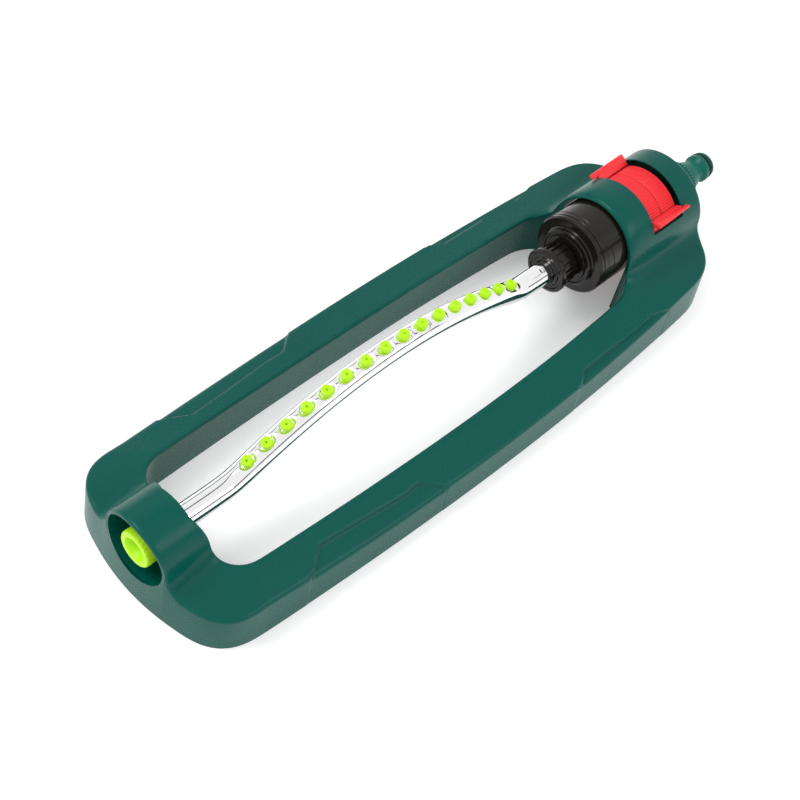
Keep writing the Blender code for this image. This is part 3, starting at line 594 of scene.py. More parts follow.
@dataclass
class SledFrame:
    """The green moulding: two sloping rails, a front boss and the saddle over the motor."""

    shop: Workshop
    length: float = 0.3915
    widths: tuple[float, float, float] = (0.0552, 0.0626, 0.0521)
    bulge: float = 0.0050
    corners: tuple[float, float] = (0.0225, 0.0274)
    window_start: float = 0.0225
    window_end: float = 0.3264
    window_widths: tuple[float, float, float] = (0.0347, 0.0392, 0.0289)
    window_bulge: float = 0.0060
    window_corners: tuple[float, float] = (0.0180, 0.0090)
    rim_front: float = 0.0268
    rim_rear: float = 0.0272
    dip: float = 0.0070
    rise: float = 0.0083
    draft: float = 0.075
    front_draft: float = -0.010
    undercut: float = 0.045
    wall: float = 0.0024
    edge: float = 0.0020
    inner_edge: float = 0.0030
    boss_radius: float = 0.0217
    boss_blend: float = 0.012
    boss_zone_end: float = 0.09
    boss_fill: float = 0.0214
    boss_span: Ring = (0.0012, 0.0235)
    saddle_radius: float = 0.0280
    saddle_blend: float = 0.009
    saddle_start: float = 0.3060
    saddle_ramp: float = 0.0165
    shoulder: float = 0.033
    rear_shoulder: float = 0.034
    window_shoulder: float = 0.0306
    window_rail_end: float = 0.3000
    motor_tunnel: float = 0.0248
    plug_hole: float = 0.0195
    bush_hole: float = 0.0119
    tail_hole: float = 0.0092
    ground: float = 0.0
    panels: tuple[tuple[float, float, float, float], ...] = (
        (0.0623, 0.0764, 0.1406, 0.1538),
        (0.2567, 0.2656, 0.3250, 0.3372),
    )
    panel_width: float = 0.0108
    panel_depth: float = 0.0019
    panel_edge: float = 0.0009
    end_density: float = 2.4
    zone_steps: tuple[int, int, int, int, int] = (48, 20, 400, 22, 50)
    rows_across: tuple[int, int, int] = (9, 5, 9)

    def half_width(self, place: np.ndarray | float, widths: tuple[float, float, float]) -> np.ndarray:
        """Half width of a barrel-shaped plan at a distance from the front."""
        front, middle, rear = widths
        centre = self.length / 2
        share = (np.asarray(place) - centre) / centre
        end = np.where(share < 0, front, rear)
        return middle - (middle - end) * share**2

    def rim_height(self, place: np.ndarray) -> np.ndarray:
        """Height of the rails' outer edge."""
        share = place / self.length
        level = self.rim_front + (self.rim_rear - self.rim_front) * share
        return level - self.dip * (1.0 - (2.0 * share - 1.0) ** 2)

    def dome(self, y: np.ndarray, radius: float, blend: float, rim: np.ndarray) -> np.ndarray:
        """Height of a round arch over the axis that runs down onto the rim in a hollow curve.

        Args:
            y: Distances from the centre plane.
            radius: Radius of the arch.
            blend: Radius of the hollow curve.
            rim: Height of the rim that it runs down to.

        Returns:
            The heights.
        """
        level = rim - self.shop.height
        hollow = np.maximum(blend, 0.0015 - level)
        centre_z = level + hollow
        centre_y = np.sqrt((radius + hollow) ** 2 - centre_z**2)
        tangent = centre_y * radius / (radius + hollow)
        arch = np.sqrt(np.maximum(radius**2 - y**2, 0.0))
        run_out = centre_z - np.sqrt(np.maximum(hollow**2 - (centre_y - y) ** 2, 0.0))
        height = np.where(y < tangent, arch, np.where(y < centre_y, run_out, level))
        return height + self.shop.height

    def top_height(self, place: np.ndarray, y: np.ndarray, across: np.ndarray) -> np.ndarray:
        """Height of the top surface at a place, at a share of the way from outer to inner edge."""
        rim = self.rim_height(place) + self.rise * across
        boss = self.dome(y, self.boss_radius, self.boss_blend, rim)
        saddle = self.dome(y, self.saddle_radius, self.saddle_blend, rim)
        near_saddle = ease((place - self.saddle_start) / self.saddle_ramp)
        return np.where(place < self.boss_zone_end, boss, rim + (saddle - rim) * near_saddle)

    def plan(self, window: bool) -> np.ndarray:
        """Half of a plan outline from front to rear, as (distance, y) rows.

        Args:
            window: True for the window's edge, False for the outer edge.

        Returns:
            One row for each station, matched between the two outlines.
        """
        widths = self.window_widths if window else self.widths
        start = self.window_start if window else 0.0
        end = self.window_end if window else self.length
        bulge = self.window_bulge if window else self.bulge
        front_corner, rear_corner = self.window_corners if window else self.corners
        front_x, rear_x = start + bulge + front_corner, end - rear_corner
        front_y = float(self.half_width(front_x, widths)) - front_corner
        rear_y = float(self.half_width(rear_x, widths)) - rear_corner
        counts = self.zone_steps
        shoulder = self.shoulder
        rear_shoulder = self.window_shoulder if window else self.rear_shoulder
        y = np.linspace(0.0, shoulder, counts[0], endpoint=False)
        bowed = start + bulge * np.minimum(y / front_y, 1.0) ** 2
        reach = np.sqrt(np.maximum(front_corner**2 - np.maximum(y - front_y, 0.0) ** 2, 0.0))
        zones = [np.stack([bowed + front_corner - reach, y], axis=1)]
        turn = math.asin(max(0.0, min(1.0, (shoulder - front_y) / front_corner)))
        turns = np.linspace(turn, math.pi / 2, counts[1], endpoint=False)
        corner = [front_x - front_corner * np.cos(turns), front_y + front_corner * np.sin(turns)]
        zones.append(np.stack(corner, axis=1))
        rail_end = self.window_rail_end if window else rear_x
        rail = self.rail_places(front_x, rail_end, counts[2])
        zones.append(np.stack([rail, self.half_width(rail, widths)], axis=1))
        if window:
            side = np.linspace(rail_end, rear_x, counts[3], endpoint=False)
            zones.append(np.stack([side, self.half_width(side, widths)], axis=1))
        else:
            last = math.asin((rear_shoulder - rear_y) / rear_corner)
            turns = np.linspace(math.pi / 2, last, counts[3], endpoint=False)
            corner = [rear_x + rear_corner * np.cos(turns), rear_y + rear_corner * np.sin(turns)]
            zones.append(np.stack(corner, axis=1))
        y = np.linspace(rear_shoulder, 0.0, counts[4])
        reach = np.sqrt(np.maximum(rear_corner**2 - np.maximum(y - rear_y, 0.0) ** 2, 0.0))
        zones.append(np.stack([end - rear_corner + reach, y], axis=1))
        return self.softened(np.concatenate(zones))

    def rail_places(self, start: float, end: float, count: int) -> np.ndarray:
        """Places along a rail, set closer together where the sunk panels begin and end."""
        fine = np.linspace(start, end, 4000)
        weight = np.ones_like(fine)
        for outer_start, inner_start, inner_end, outer_end in self.panels:
            for low, high in ((outer_start, inner_start), (inner_end, outer_end)):
                weight[(fine > low - 0.002) & (fine < high + 0.002)] = self.end_density
        share = np.concatenate([[0.0], np.cumsum((weight[1:] + weight[:-1]) / 2)])
        return np.interp(np.linspace(0.0, share[-1], count, endpoint=False), share, fine)

    def row_shares(self, width: np.ndarray) -> np.ndarray:
        """Shares of the way from the outer to the inner edge, with rows along the panels' inner edge.

        Args:
            width: Width of the top at each station.

        Returns:
            Shares of shape (rows, stations).
        """
        half = self.panel_edge * 0.6
        zero = np.zeros_like(width)
        marks = np.stack([zero, zero + self.panel_width - half, zero + self.panel_width + half, width])
        marks = np.minimum(marks / width, np.array([0.0, 0.62, 0.70, 1.0])[:, None])
        counts = self.rows_across
        rows = [np.linspace(0.0, 1.0, steps, endpoint=False) for steps in counts]
        shares = [marks[i] + (marks[i + 1] - marks[i]) * row[:, None] for i, row in enumerate(rows)]
        return np.concatenate([*shares, marks[-1:]])

    def softened(self, outline: np.ndarray, passes: int = 50) -> np.ndarray:
        """Rounds off the places where two stretches of an outline meet."""
        flip = np.array([1.0, -1.0])
        for _ in range(passes):
            before = np.concatenate([outline[1:2] * flip, outline[:-1]])
            after = np.concatenate([outline[1:], outline[-2:-1] * flip])
            outline = (before + 2.0 * outline + after) / 4.0
        return outline

    def panel_mask(self, place: np.ndarray, inward: np.ndarray) -> np.ndarray:
        """How far a point lies inside one of the sunk panels on the rails, from 0 to 1.

        Args:
            place: Distances from the front.
            inward: Distances from the outer edge towards the window.

        Returns:
            The share of the panels' depth.
        """
        share = np.clip(inward / self.panel_width, 0.0, 1.0)
        mask = np.zeros_like(place)
        for outer_start, inner_start, inner_end, outer_end in self.panels:
            after_start = place - (outer_start + (inner_start - outer_start) * share)
            before_end = (outer_end + (inner_end - outer_end) * share) - place
            inside = np.minimum(after_start, before_end)
            inside = np.minimum(inside, self.panel_width - inward)
            mask = np.maximum(mask, ease(inside / self.panel_edge + 0.5))
        return mask

    def surface(self) -> np.ndarray:
        """Rows of points from the outer wall's foot, over the top, to the window wall's foot."""
        outer, window = self.plan(False), self.plan(True)
        outward = self.normals(outer, 1.0)
        toward_window = self.normals(window, -1.0)
        foot_height = self.top_height(outer[:, 0], outer[:, 1], np.zeros(len(outer)))
        lean = self.front_draft + (self.draft - self.front_draft) * ease((outer[:, 0] - 0.012) / 0.030)
        outer_top = outer - outward * (lean * foot_height)[:, None]
        across = self.row_shares(np.linalg.norm(window - outer_top, axis=1))
        plan = outer_top[None] + (window - outer_top)[None] * across[..., None]
        inward = np.linalg.norm(plan - outer_top[None], axis=2)
        level = self.top_height(plan[..., 0], plan[..., 1], across)
        on_rail = np.broadcast_to(window[None, :, 1] > 0.02, inward.shape)
        level = level - self.panel_depth * self.panel_mask(plan[..., 0], inward) * on_rail
        top = np.concatenate([plan, level[..., None]], axis=2)
        first = self.rounded(top[0], top[1:], outward, self.edge, lean[:, None])
        undercut = np.full_like(lean, -self.undercut)[:, None]
        last = self.rounded(top[-1], top[-2::-1], toward_window, self.inner_edge, undercut)
        kept = slice(3, -3)
        rows = np.concatenate([first, top[kept], last[::-1]], axis=0)
        rows[..., 0] += self.shop.front
        return rows

    def normals(self, outline: np.ndarray, side: float) -> np.ndarray:
        """Unit normals of a plan outline, away from the rail's material."""
        ahead = np.concatenate([outline[1:], outline[-2:-1] * np.array([1.0, -1.0])])
        behind = np.concatenate([outline[1:2] * np.array([1.0, -1.0]), outline[:-1]])
        tangent = unit(ahead - behind)
        return side * np.stack([-tangent[:, 1], tangent[:, 0]], axis=1)

    def rounded(
        self, corner: np.ndarray, inside: np.ndarray, away: np.ndarray, radius: float, lean: np.ndarray
    ) -> np.ndarray:
        """Rows for one edge of the top: the wall's foot, its top, and the rounding.

        Args:
            corner: The sharp corner's points.
            inside: Rows of points on the top, from the corner inwards.
            away: Horizontal normals of the wall.
            radius: Size of the rounding.
            lean: How far the wall runs outwards for each metre down, at each station.

        Returns:
            The rows, foot first.
        """
        down = unit(np.concatenate([away * lean, -np.ones((len(away), 1))], axis=1))
        landing = inside[1]
        lower = corner + down * radius
        foot = lower.copy()
        foot[:, :2] += away * lean * (lower[:, 2:3] - self.ground)
        foot[:, 2] = self.ground
        rows = [foot, lower]
        for share in (0.22, 0.42, 0.61, 0.8):
            near = corner + down * radius * (1.0 - share)
            far = corner + (landing - corner) * share
            rows.append(near + (far - near) * share)
        return np.stack(rows + [landing])

    def shell(self) -> bpy.types.Object:
        """The walls and top of both halves, as one closed shell standing on the ground."""
        obj = grid("frame_body", self.surface())
        face_out(obj)
        mirror = obj.modifiers.new("halves", "MIRROR")
        mirror.use_axis = (False, True, False)
        mirror.merge_threshold = 0.00002
        apply_modifiers(obj)
        self.face_outwards(obj)
        thicken = obj.modifiers.new("wall", "SOLIDIFY")
        thicken.thickness = self.wall
        thicken.offset = -1.0
        thicken.use_even_offset = True
        thicken.thickness_clamp = 1.0
        apply_modifiers(obj)
        for vertex in obj.data.vertices:
            vertex.co.z = max(vertex.co.z, self.ground)
        return obj

    def face_outwards(self, obj: bpy.types.Object) -> None:
        """Turns the open surface's faces so that its top looks up."""
        normals = np.empty(len(obj.data.polygons) * 3, np.float32)
        obj.data.polygons.foreach_get("normal", normals)
        if normals.reshape(-1, 3)[:, 2].sum() < 0:
            pick(obj)
            bpy.ops.object.mode_set(mode="EDIT")
            bpy.ops.mesh.select_all(action="SELECT")
            bpy.ops.mesh.flip_normals()
            bpy.ops.object.mode_set(mode="OBJECT")

    def arch(self, radius: float) -> list[tuple[float, float]]:
        """Outline of a tunnel about the axis with straight sides down past the ground."""
        below = -0.006 - self.shop.height
        return [(-radius, below), (radius, below)] + arc(radius, 0.0, math.pi, 64)

    def cutters(self) -> list[bpy.types.Object]:
        """The tunnels for motor and stop rings, the slot, and the holes on the axis."""
        shop, height = self.shop, self.shop.height
        outline = self.arch(self.motor_tunnel)
        motor_tunnel = plate("cut_motor", outline, shop.along(0.31), shop.along(0.350), height)
        wedge = [(0.0, 0.0)] + arc(0.045, math.radians(28.0), math.radians(152.0), 24)
        slot = plate("cut_slot", wedge, shop.along(0.3462), shop.along(0.3714), height)
        ends = (
            ("cut_plug", -0.01, 0.018, self.plug_hole),
            ("cut_bush", 0.010, 0.045, self.bush_hole),
            ("cut_tail", 0.370, 0.41, self.tail_hole),
        )
        holes = [
            turned(name, [(shop.along(start), radius), (shop.along(end), radius)], height)
            for name, start, end, radius in ends
        ]
        return [motor_tunnel, slot, *holes]

    def build(self) -> None:
        """Makes the frame and lets it stand for its CAD node."""
        shop = self.shop
        frame = self.shell()
        boss = turned("boss", [(shop.along(place), self.boss_fill) for place in self.boss_span], shop.height)
        unite(frame, [boss])
        unite(frame, self.cutters(), "DIFFERENCE")
        smooth(frame, 38.0)
        shop.place(frame, "frame_plastic", "base", "sled_frame")


# ---------------------------------------------------------------- spray tube and nozzles


@dataclass
class SprayTube:
    """The bright bent tube, pressed flat round each nozzle, and the row of nozzles on it."""

    shop: Workshop
    radius: float = 0.0064
    wall: float = 0.0009
    start: float = 0.0140
    end: float = 0.2998
    peak: float = 0.160
    arch_rise: float = 0.0272
    arch_curve: float = 2.7
    arch_blend: float = 0.003
    count: int = 16
    first: float = 0.0708
    pitch: float = 0.01252
    pad_depth: float = 0.0012
    pad_reach: float = 0.0048
    dimple_place: tuple[float, float] = (0.2795, -0.0012)
    dimple_depth: float = 0.0007
    dimple_radius: float = 0.0014
    head_radius: float = 0.0031
    head_height: float = 0.0020
    stations: int = 620
    sides: int = 56
    places: list[float] = field(default_factory=list)

    def height_at(self, place: float | np.ndarray) -> float | np.ndarray:
        """Height of the centre line over the axis."""
        level = self.arch_rise - self.arch_curve * (place - self.peak) ** 2
        return (level + np.sqrt(level**2 + self.arch_blend**2)) / 2

    def slope_at(self, place: float | np.ndarray) -> float | np.ndarray:
        """Slope of the centre line."""
        step = 0.0001
        return (self.height_at(place + step) - self.height_at(place - step)) / (2 * step)

    def nozzle_places(self) -> list[float]:
        """Distances along the sprinkler that space the nozzles evenly along the tube."""
        places = [self.first]
        while len(places) < self.count:
            place = places[-1]
            places.append(place + self.pitch / math.hypot(1.0, float(self.slope_at(place + self.pitch / 2))))
        return places

    def skin(self, radius: float, pressed: bool) -> np.ndarray:
        """Rings of points round the bent centre line.

        Args:
            radius: Radius of the rings.
            pressed: True presses a flat pad round each nozzle.

        Returns:
            Places of shape (stations, sides, 3).
        """
        along = np.linspace(self.start, self.end, self.stations)
        lean = np.arctan(self.slope_at(along))
        turns = np.linspace(0.0, 2 * math.pi, self.sides, endpoint=False)
        up = np.tile(radius * np.cos(turns), (self.stations, 1))
        across = np.tile(radius * np.sin(turns), (self.stations, 1))
        if pressed:
            for place in self.places:
                reach = (along[:, None] - place) / np.cos(lean)[:, None]
                gap = np.sqrt(reach**2 + across**2)
                share = 1.0 - ease((gap - self.pad_reach * 0.62) / (self.pad_reach * 0.50))
                flat = radius - self.pad_depth
                sunk = np.minimum(up, flat)
                up = np.where(up > 0, up + (sunk - up) * share, up)
            dimple_s, dimple_y = self.dimple_place
            dimple = np.sqrt((along[:, None] - dimple_s) ** 2 + (across - dimple_y) ** 2)
            up = np.where(up > 0, up - self.dimple_depth * (1.0 - ease(dimple / self.dimple_radius)), up)
        points = np.empty((*up.shape, 3))
        points[..., 0] = self.shop.along(along)[:, None] - up * np.sin(lean)[:, None]
        points[..., 1] = across
        points[..., 2] = (self.shop.height + self.height_at(along))[:, None] + up * np.cos(lean)[:, None]
        return points

    def tube(self) -> bpy.types.Object:
        """The tube as one closed body: outer skin, inner skin and the two cut ends."""
        outer, inner = self.skin(self.radius, True), self.skin(self.radius - self.wall, False)[::-1]
        obj = grid("bright_tube", np.concatenate([outer, inner, outer[:1]]), wrap=True)
        face_out(obj)
        smooth(obj, 50.0)
        return obj

    def seat(self, place: float) -> Matrix:
        """A nozzle's own frame, standing on its pressed pad."""
        lean = math.atan(float(self.slope_at(place)))
        rise = self.shop.height + float(self.height_at(place))
        centre = Matrix.Translation((self.shop.along(place), 0.0, rise))
        return centre @ Matrix.Rotation(-lean, 4, "Y") @ Matrix.Translation((0, 0, self.radius))

    def nozzle(self) -> bpy.types.Object:
        """One soft nozzle: a low drum with a rounded rim, a shallow dish and the jet hole."""
        top, base = self.head_height, 0.0001 - self.pad_depth
        radius = self.head_radius
        rings = [
            (base, radius * 0.93),
            (base + 0.0005, radius),
            (top - 0.0008, radius),
            (top - 0.0002, radius * 0.90),
            (top, radius * 0.72),
            (top - 0.00035, radius * 0.52),
            (top - 0.0005, radius * 0.30),
            (top - 0.0003, radius * 0.22),
            (top - 0.0006, radius * 0.14),
            (top - 0.0022, radius * 0.10),
        ]
        deselect()
        bpy.ops.mesh.primitive_circle_add(vertices=28, radius=rings[0][1], location=(0, 0, rings[0][0]))
        obj = name_new("nozzle")
        bpy.ops.object.mode_set(mode="EDIT")
        bpy.ops.mesh.select_all(action="SELECT")
        bpy.ops.mesh.edge_face_add()
        for (last_z, last_radius), (z, ring_radius) in zip(rings, rings[1:]):
            bpy.ops.mesh.extrude_region_move(TRANSFORM_OT_translate={"value": (0.0, 0.0, z - last_z)})
            share = ring_radius / last_radius
            bpy.ops.transform.resize(value=(share, share, 1.0), center_override=(0.0, 0.0, z))
        bpy.ops.object.mode_set(mode="OBJECT")
        face_out(obj)
        smooth(obj, 40.0)
        return obj

    def build(self) -> None:
        """Makes the tube and its nozzles."""
        self.places = self.nozzle_places()
        self.shop.place(self.tube(), "tube_metal", "oscillator", "spray_tube")
        pattern = self.nozzle()
        for number, place in enumerate(self.places, 1):
            nozzle = pattern.copy()
            nozzle.data = pattern.data.copy()
            nozzle.name = f"jet_{number:02d}"
            bpy.context.scene.collection.objects.link(nozzle)
            nozzle.data.transform(self.seat(place))
            self.shop.place(nozzle, "nozzle_plastic", "oscillator", f"nozzle_{number:02d}")
        bpy.data.objects.remove(pattern, do_unlink=True)


# ---------------------------------------------------------------- front end


@dataclass
class FrontEnd:
    """The lime cleaning plug in the front hole, and the black bearing behind it."""

    shop: Workshop
    plug_radius: float = 0.0100
    start: float = 0.0008
    tube_start: float = 0.0140
    shank: float = 0.0046
    ribs: int = 24
    rib_depth: float = 0.00045

    def plug(self) -> bpy.types.Object:
        """The plug: a ribbed grip with a deep round recess, and the shank with its groove."""
        at, radius = self.shop.along, self.plug_radius
        grip_end = self.tube_start - 0.0005
        rings = [
            (at(self.start + 0.0052), 0.0052),
            (at(self.start + 0.0006), 0.0064),
            (at(self.start), 0.0069),
            (at(self.start), radius - 0.0007),
            (at(self.start + 0.0007), radius),
            (at(grip_end - 0.0006), radius - 0.0003),
            (at(grip_end), radius - 0.0009),
            (at(grip_end), self.shank),
            (at(self.tube_start + 0.0041), self.shank),
            (at(self.tube_start + 0.0041), self.shank - 0.0010),
            (at(self.tube_start + 0.0059), self.shank - 0.0010),
            (at(self.tube_start + 0.0059), self.shank),
            (at(self.tube_start + 0.0106), self.shank),
            (at(self.tube_start + 0.0110), self.shank - 0.0004),
        ]
        obj = turned("pull_plug", rings, self.shop.height, self.ribs * 4)
        span = (at(self.start + 0.0003), at(grip_end - 0.0001))
        ribbed(obj, self.shop.height, self.ribs, self.rib_depth, radius - 0.0008, span, first=1.0)
        smooth(obj, 35.0)
        return obj

    def bush(self) -> bpy.types.Object:
        """The flanged bearing with rounded edges."""
        low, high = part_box("front_bush")
        middle, end = self.shop.along(0.018), self.shop.along(0.0245)
        rings = [
            (end, 0.0116),
            (middle - 0.0003, 0.0116),
            (middle - 0.0003, 0.0140),
            (low.x, 0.0140),
            (low.x, 0.0068),
            (end, 0.0068),
        ]
        obj = turned("bearing", rings, self.shop.height, 72, hollow=True)
        round_edges(obj, 0.0003, 2)
        smooth(obj)
        return obj

    def build(self) -> None:
        """Makes the plug and the bearing."""
        self.shop.place(self.plug(), "nozzle_plastic", "plug", "end_plug")
        self.shop.place(self.bush(), "motor_plastic", "base", "front_bush")


# ---------------------------------------------------------------- water motor


@dataclass
class WaterMotor:
    """The black capsule that swings with the tube, and the fluted nut that holds the tube."""

    shop: Workshop
    drum: float = 0.0235
    rear_drum: float = 0.0190
    wall: float = 0.0018
    step: float = 0.0171
    neck: float = 0.0087
    nut: float = 0.0116
    nut_rim: float = 0.0132
    neck_length: float = 0.3057 - 0.2898
    wide_length: float = 0.3393 - 0.3090
    screw_circle: float = 0.0144
    flutes: int = 16

    def cap(self) -> bpy.types.Object:
        """The front cap with its stepped rings and the neck inside the nut."""
        low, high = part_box("capsule_front_cap")
        face = low.x + self.neck_length
        inner = self.drum - self.wall - 0.0003
        rings = [
            (high.x, inner - 0.0015),
            (high.x, inner),
            (face + 0.0030, inner),
            (face + 0.0030, self.drum - 0.0004),
            (face + 0.0026, self.drum),
            (face + 0.0010, self.drum),
            (face + 0.0002, self.drum - 0.0009),
            (face, self.drum - 0.0020),
            (face + 0.0001, self.step + 0.0020),
            (face - 0.0001, self.step + 0.0006),
            (face - 0.0007, self.step),
            (face - 0.0024, self.step),
            (face - 0.0030, self.step - 0.0006),
            (face - 0.0030, self.step - 0.0016),
            (face - 0.0024, self.step - 0.0020),
            (face - 0.0024, self.step - 0.0030),
            (face - 0.0035, self.step - 0.0034),
            (face - 0.0035, self.nut + 0.0010),
            (face - 0.0039, self.neck),
            (low.x, self.neck),
            (low.x, 0.0071),
            (high.x - 0.0030, 0.0071),
            (high.x - 0.0030, inner - 0.0015),
        ]
        obj = turned("front_cap", rings, self.shop.height, 128, hollow=True)
        smooth(obj, 28.0)
        return obj

    def shell(self) -> bpy.types.Object:
        """The drum: wide over the gears with a moulded seam and panel, narrow under the stops."""
        low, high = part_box("capsule_shell")
        step = low.x + self.wide_length
        rings = [
            (high.x, self.rear_drum - self.wall),
            (high.x, self.rear_drum - 0.0003),
            (high.x - 0.0003, self.rear_drum),
            (step + 0.0002, self.rear_drum),
            (step, self.rear_drum + 0.0002),
            (step, self.drum - 0.0006),
            (step - 0.0006, self.drum),
            (low.x + 0.0034, self.drum),
            (low.x + 0.0031, self.drum - 0.0003),
            (low.x + 0.0027, self.drum - 0.0003),
            (low.x + 0.0024, self.drum),
            (low.x + 0.0003, self.drum),
            (low.x, self.drum - 0.0003),
            (low.x, self.drum - self.wall),
            (step - self.wall, self.drum - self.wall),
            (step - self.wall, self.rear_drum - self.wall),
        ]
        obj = turned("drum", rings, self.shop.height, 160, hollow=True)
        seams = [self.seam(low.x + 0.0040, step - 0.0012, math.radians(turn)) for turn in (128.0, 308.0)]
        unite(obj, seams, "DIFFERENCE")
        panels = [self.panel(low.x + 0.0075, step - 0.0040, math.radians(turn)) for turn in (150.0, 330.0)]
        unite(obj, panels)
        smooth(obj, 28.0)
        return obj

    def seam(self, start: float, end: float, turn: float) -> bpy.types.Object:
        """A thin cutter for a groove along the drum."""
        half = 0.0003 / self.drum
        outline = arc(self.drum - 0.0004, turn - half, turn + half, 1)
        outline += arc(self.drum + 0.0010, turn + half, turn - half, 1)
        return plate("seam", outline, start, end, self.shop.height)

    def panel(self, start: float, end: float, turn: float) -> bpy.types.Object:
        """A slightly raised rectangle on the drum."""
        half = 0.0060 / self.drum
        outline = arc(self.drum - 0.0006, turn - half, turn + half, 10)
        outline += arc(self.drum + 0.00022, turn + half, turn - half, 10)
        return plate("panel", outline, start, end, self.shop.height)

    def rear_cap(self) -> bpy.types.Object:
        """The rear cap, with rounded edges and its screw holes."""
        low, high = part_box("capsule_rear_cap")
        face = high.x - 0.0024
        lip = self.rear_drum - self.wall - 0.0003
        rings = [
            (high.x, self.rear_drum),
            (face, self.rear_drum),
            (face, lip),
            (low.x, lip),
            (low.x, lip - 0.0017),
            (face, lip - 0.0017),
            (face, 0.0095),
            (low.x, 0.0095),
            (low.x, 0.0079),
            (face + 0.0004, 0.0079),
            (face + 0.0004, 0.0060),
            (high.x, 0.0060),
        ]
        obj = turned("rear_cap", rings, self.shop.height, 96, hollow=True)
        circle = self.screw_circle
        places = [(circle * math.cos(turn), circle * math.sin(turn), 0.0014) for turn in self.screw_turns()]
        places.append((0.0, -0.011, 0.0019))
        holes = [self.hole(low.x - 0.003, high.x + 0.003, *place) for place in places]
        unite(obj, holes, "DIFFERENCE")
        round_edges(obj, 0.0002, 2, 50.0)
        smooth(obj)
        return obj

    def screw_turns(self) -> list[float]:
        """Angles of the three cap screws, measured from +Y."""
        return [math.radians(turn) for turn in (90.0, 210.0, 330.0)]

    def hole(self, start: float, end: float, y: float, z: float, radius: float) -> bpy.types.Object:
        """A round cutter along X."""
        outline = [(y + a, z + b) for a, b in arc(radius, 0.0, 2 * math.pi, 24)[:-1]]
        return plate("hole", outline, start, end, self.shop.height)

    def screw(self, number: int) -> bpy.types.Object:
        """A pan-head cap screw with a cross recess and a ringed shank."""
        node = f"cap_screw_{number}"
        low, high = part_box(node)
        turn = self.screw_turns()[number - 1]
        y, z = self.screw_circle * math.cos(turn), self.screw_circle * math.sin(turn)
        rings = [(low.x, 0.0006), (low.x + 0.0006, 0.00095)]
        threads = 14
        length = high.x - 0.0013 - rings[-1][0]
        for i in range(threads):
            start = rings[1][0] + length * i / threads
            rings += [(start + length * 0.25 / threads, 0.0011), (start + length * 0.75 / threads, 0.00092)]
        rings += [(high.x - 0.0011, 0.0011), (high.x - 0.0011, 0.0021), (high.x - 0.0008, 0.0022)]
        rings += [(high.x - 0.0003, 0.0019), (high.x, 0.0013)]
        height = self.shop.height + z
        obj = turned(f"screw_{number}", rings, height, 32)
        obj.data.transform(Matrix.Translation((0.0, y, 0.0)))
        arms = [(0.0011, 0.00026), (0.00026, 0.0011)]
        recess = [
            block("recess", (high.x - 0.0007, y - a, height - b), (high.x + 0.001, y + a, height + b))
            for a, b in arms
        ]
        unite(obj, recess, "DIFFERENCE")
        smooth(obj, 30.0)
        return obj

    def nut_body(self) -> bpy.types.Object:
        """The nut: a thin front flange and a barrel with wide flutes."""
        low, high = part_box("collar_nut")
        lip = low.x + 0.0030
        rings = [
            (high.x, self.neck + 0.0003),
            (high.x, self.nut - 0.0018),
            (high.x - 0.0006, self.nut - 0.0013),
            (lip + 0.0006, self.nut - 0.0011),
            (lip + 0.0002, self.nut + 0.0004),
            (lip, self.nut_rim - 0.0004),
            (lip - 0.0005, self.nut_rim),
            (low.x + 0.0007, self.nut_rim),
            (low.x + 0.0001, self.nut_rim - 0.0008),
            (low.x, self.nut_rim - 0.0022),
            (low.x + 0.0006, self.nut_rim - 0.0028),
            (low.x + 0.0006, self.nut_rim - 0.0042),
            (low.x, self.nut_rim - 0.0047),
            (low.x, 0.0068),
            (lip + 0.0004, 0.0068),
            (lip + 0.0004, self.neck + 0.0003),
        ]
        obj = turned("fluted_nut", rings, self.shop.height, self.flutes * 10, hollow=True)
        ribs = []
        for i in range(self.flutes):
            turn = 2 * math.pi * i / self.flutes
            half = math.pi / self.flutes * 0.36
            outline = arc(self.nut - 0.0018, turn - half * 1.2, turn + half * 1.2, 2)
            outline += arc(self.nut + 0.0001, turn + half, turn - half, 3)
            ribs.append(plate("rib", outline, lip - 0.0004, high.x - 0.0012, self.shop.height))
        comb = gather("ribs", ribs)
        round_edges(comb, 0.00022, 2, 35.0)
        unite(obj, [comb])
        smooth(obj, 30.0)
        return obj

    def build(self) -> None:
        """Makes the capsule's shells, its screws and the nut."""
        shop = self.shop
        shop.place(self.cap(), "motor_plastic", "oscillator", "capsule_front_cap")
        shop.place(self.shell(), "motor_plastic", "oscillator", "capsule_shell")
        shop.place(self.rear_cap(), "motor_plastic", "oscillator", "capsule_rear_cap")
        shop.place(self.nut_body(), "motor_plastic", "oscillator", "collar_nut")
        for number in (1, 2, 3):
            shop.place(self.screw(number), "steel", "oscillator", f"cap_screw_{number}")


# ---------------------------------------------------------------- stop rings


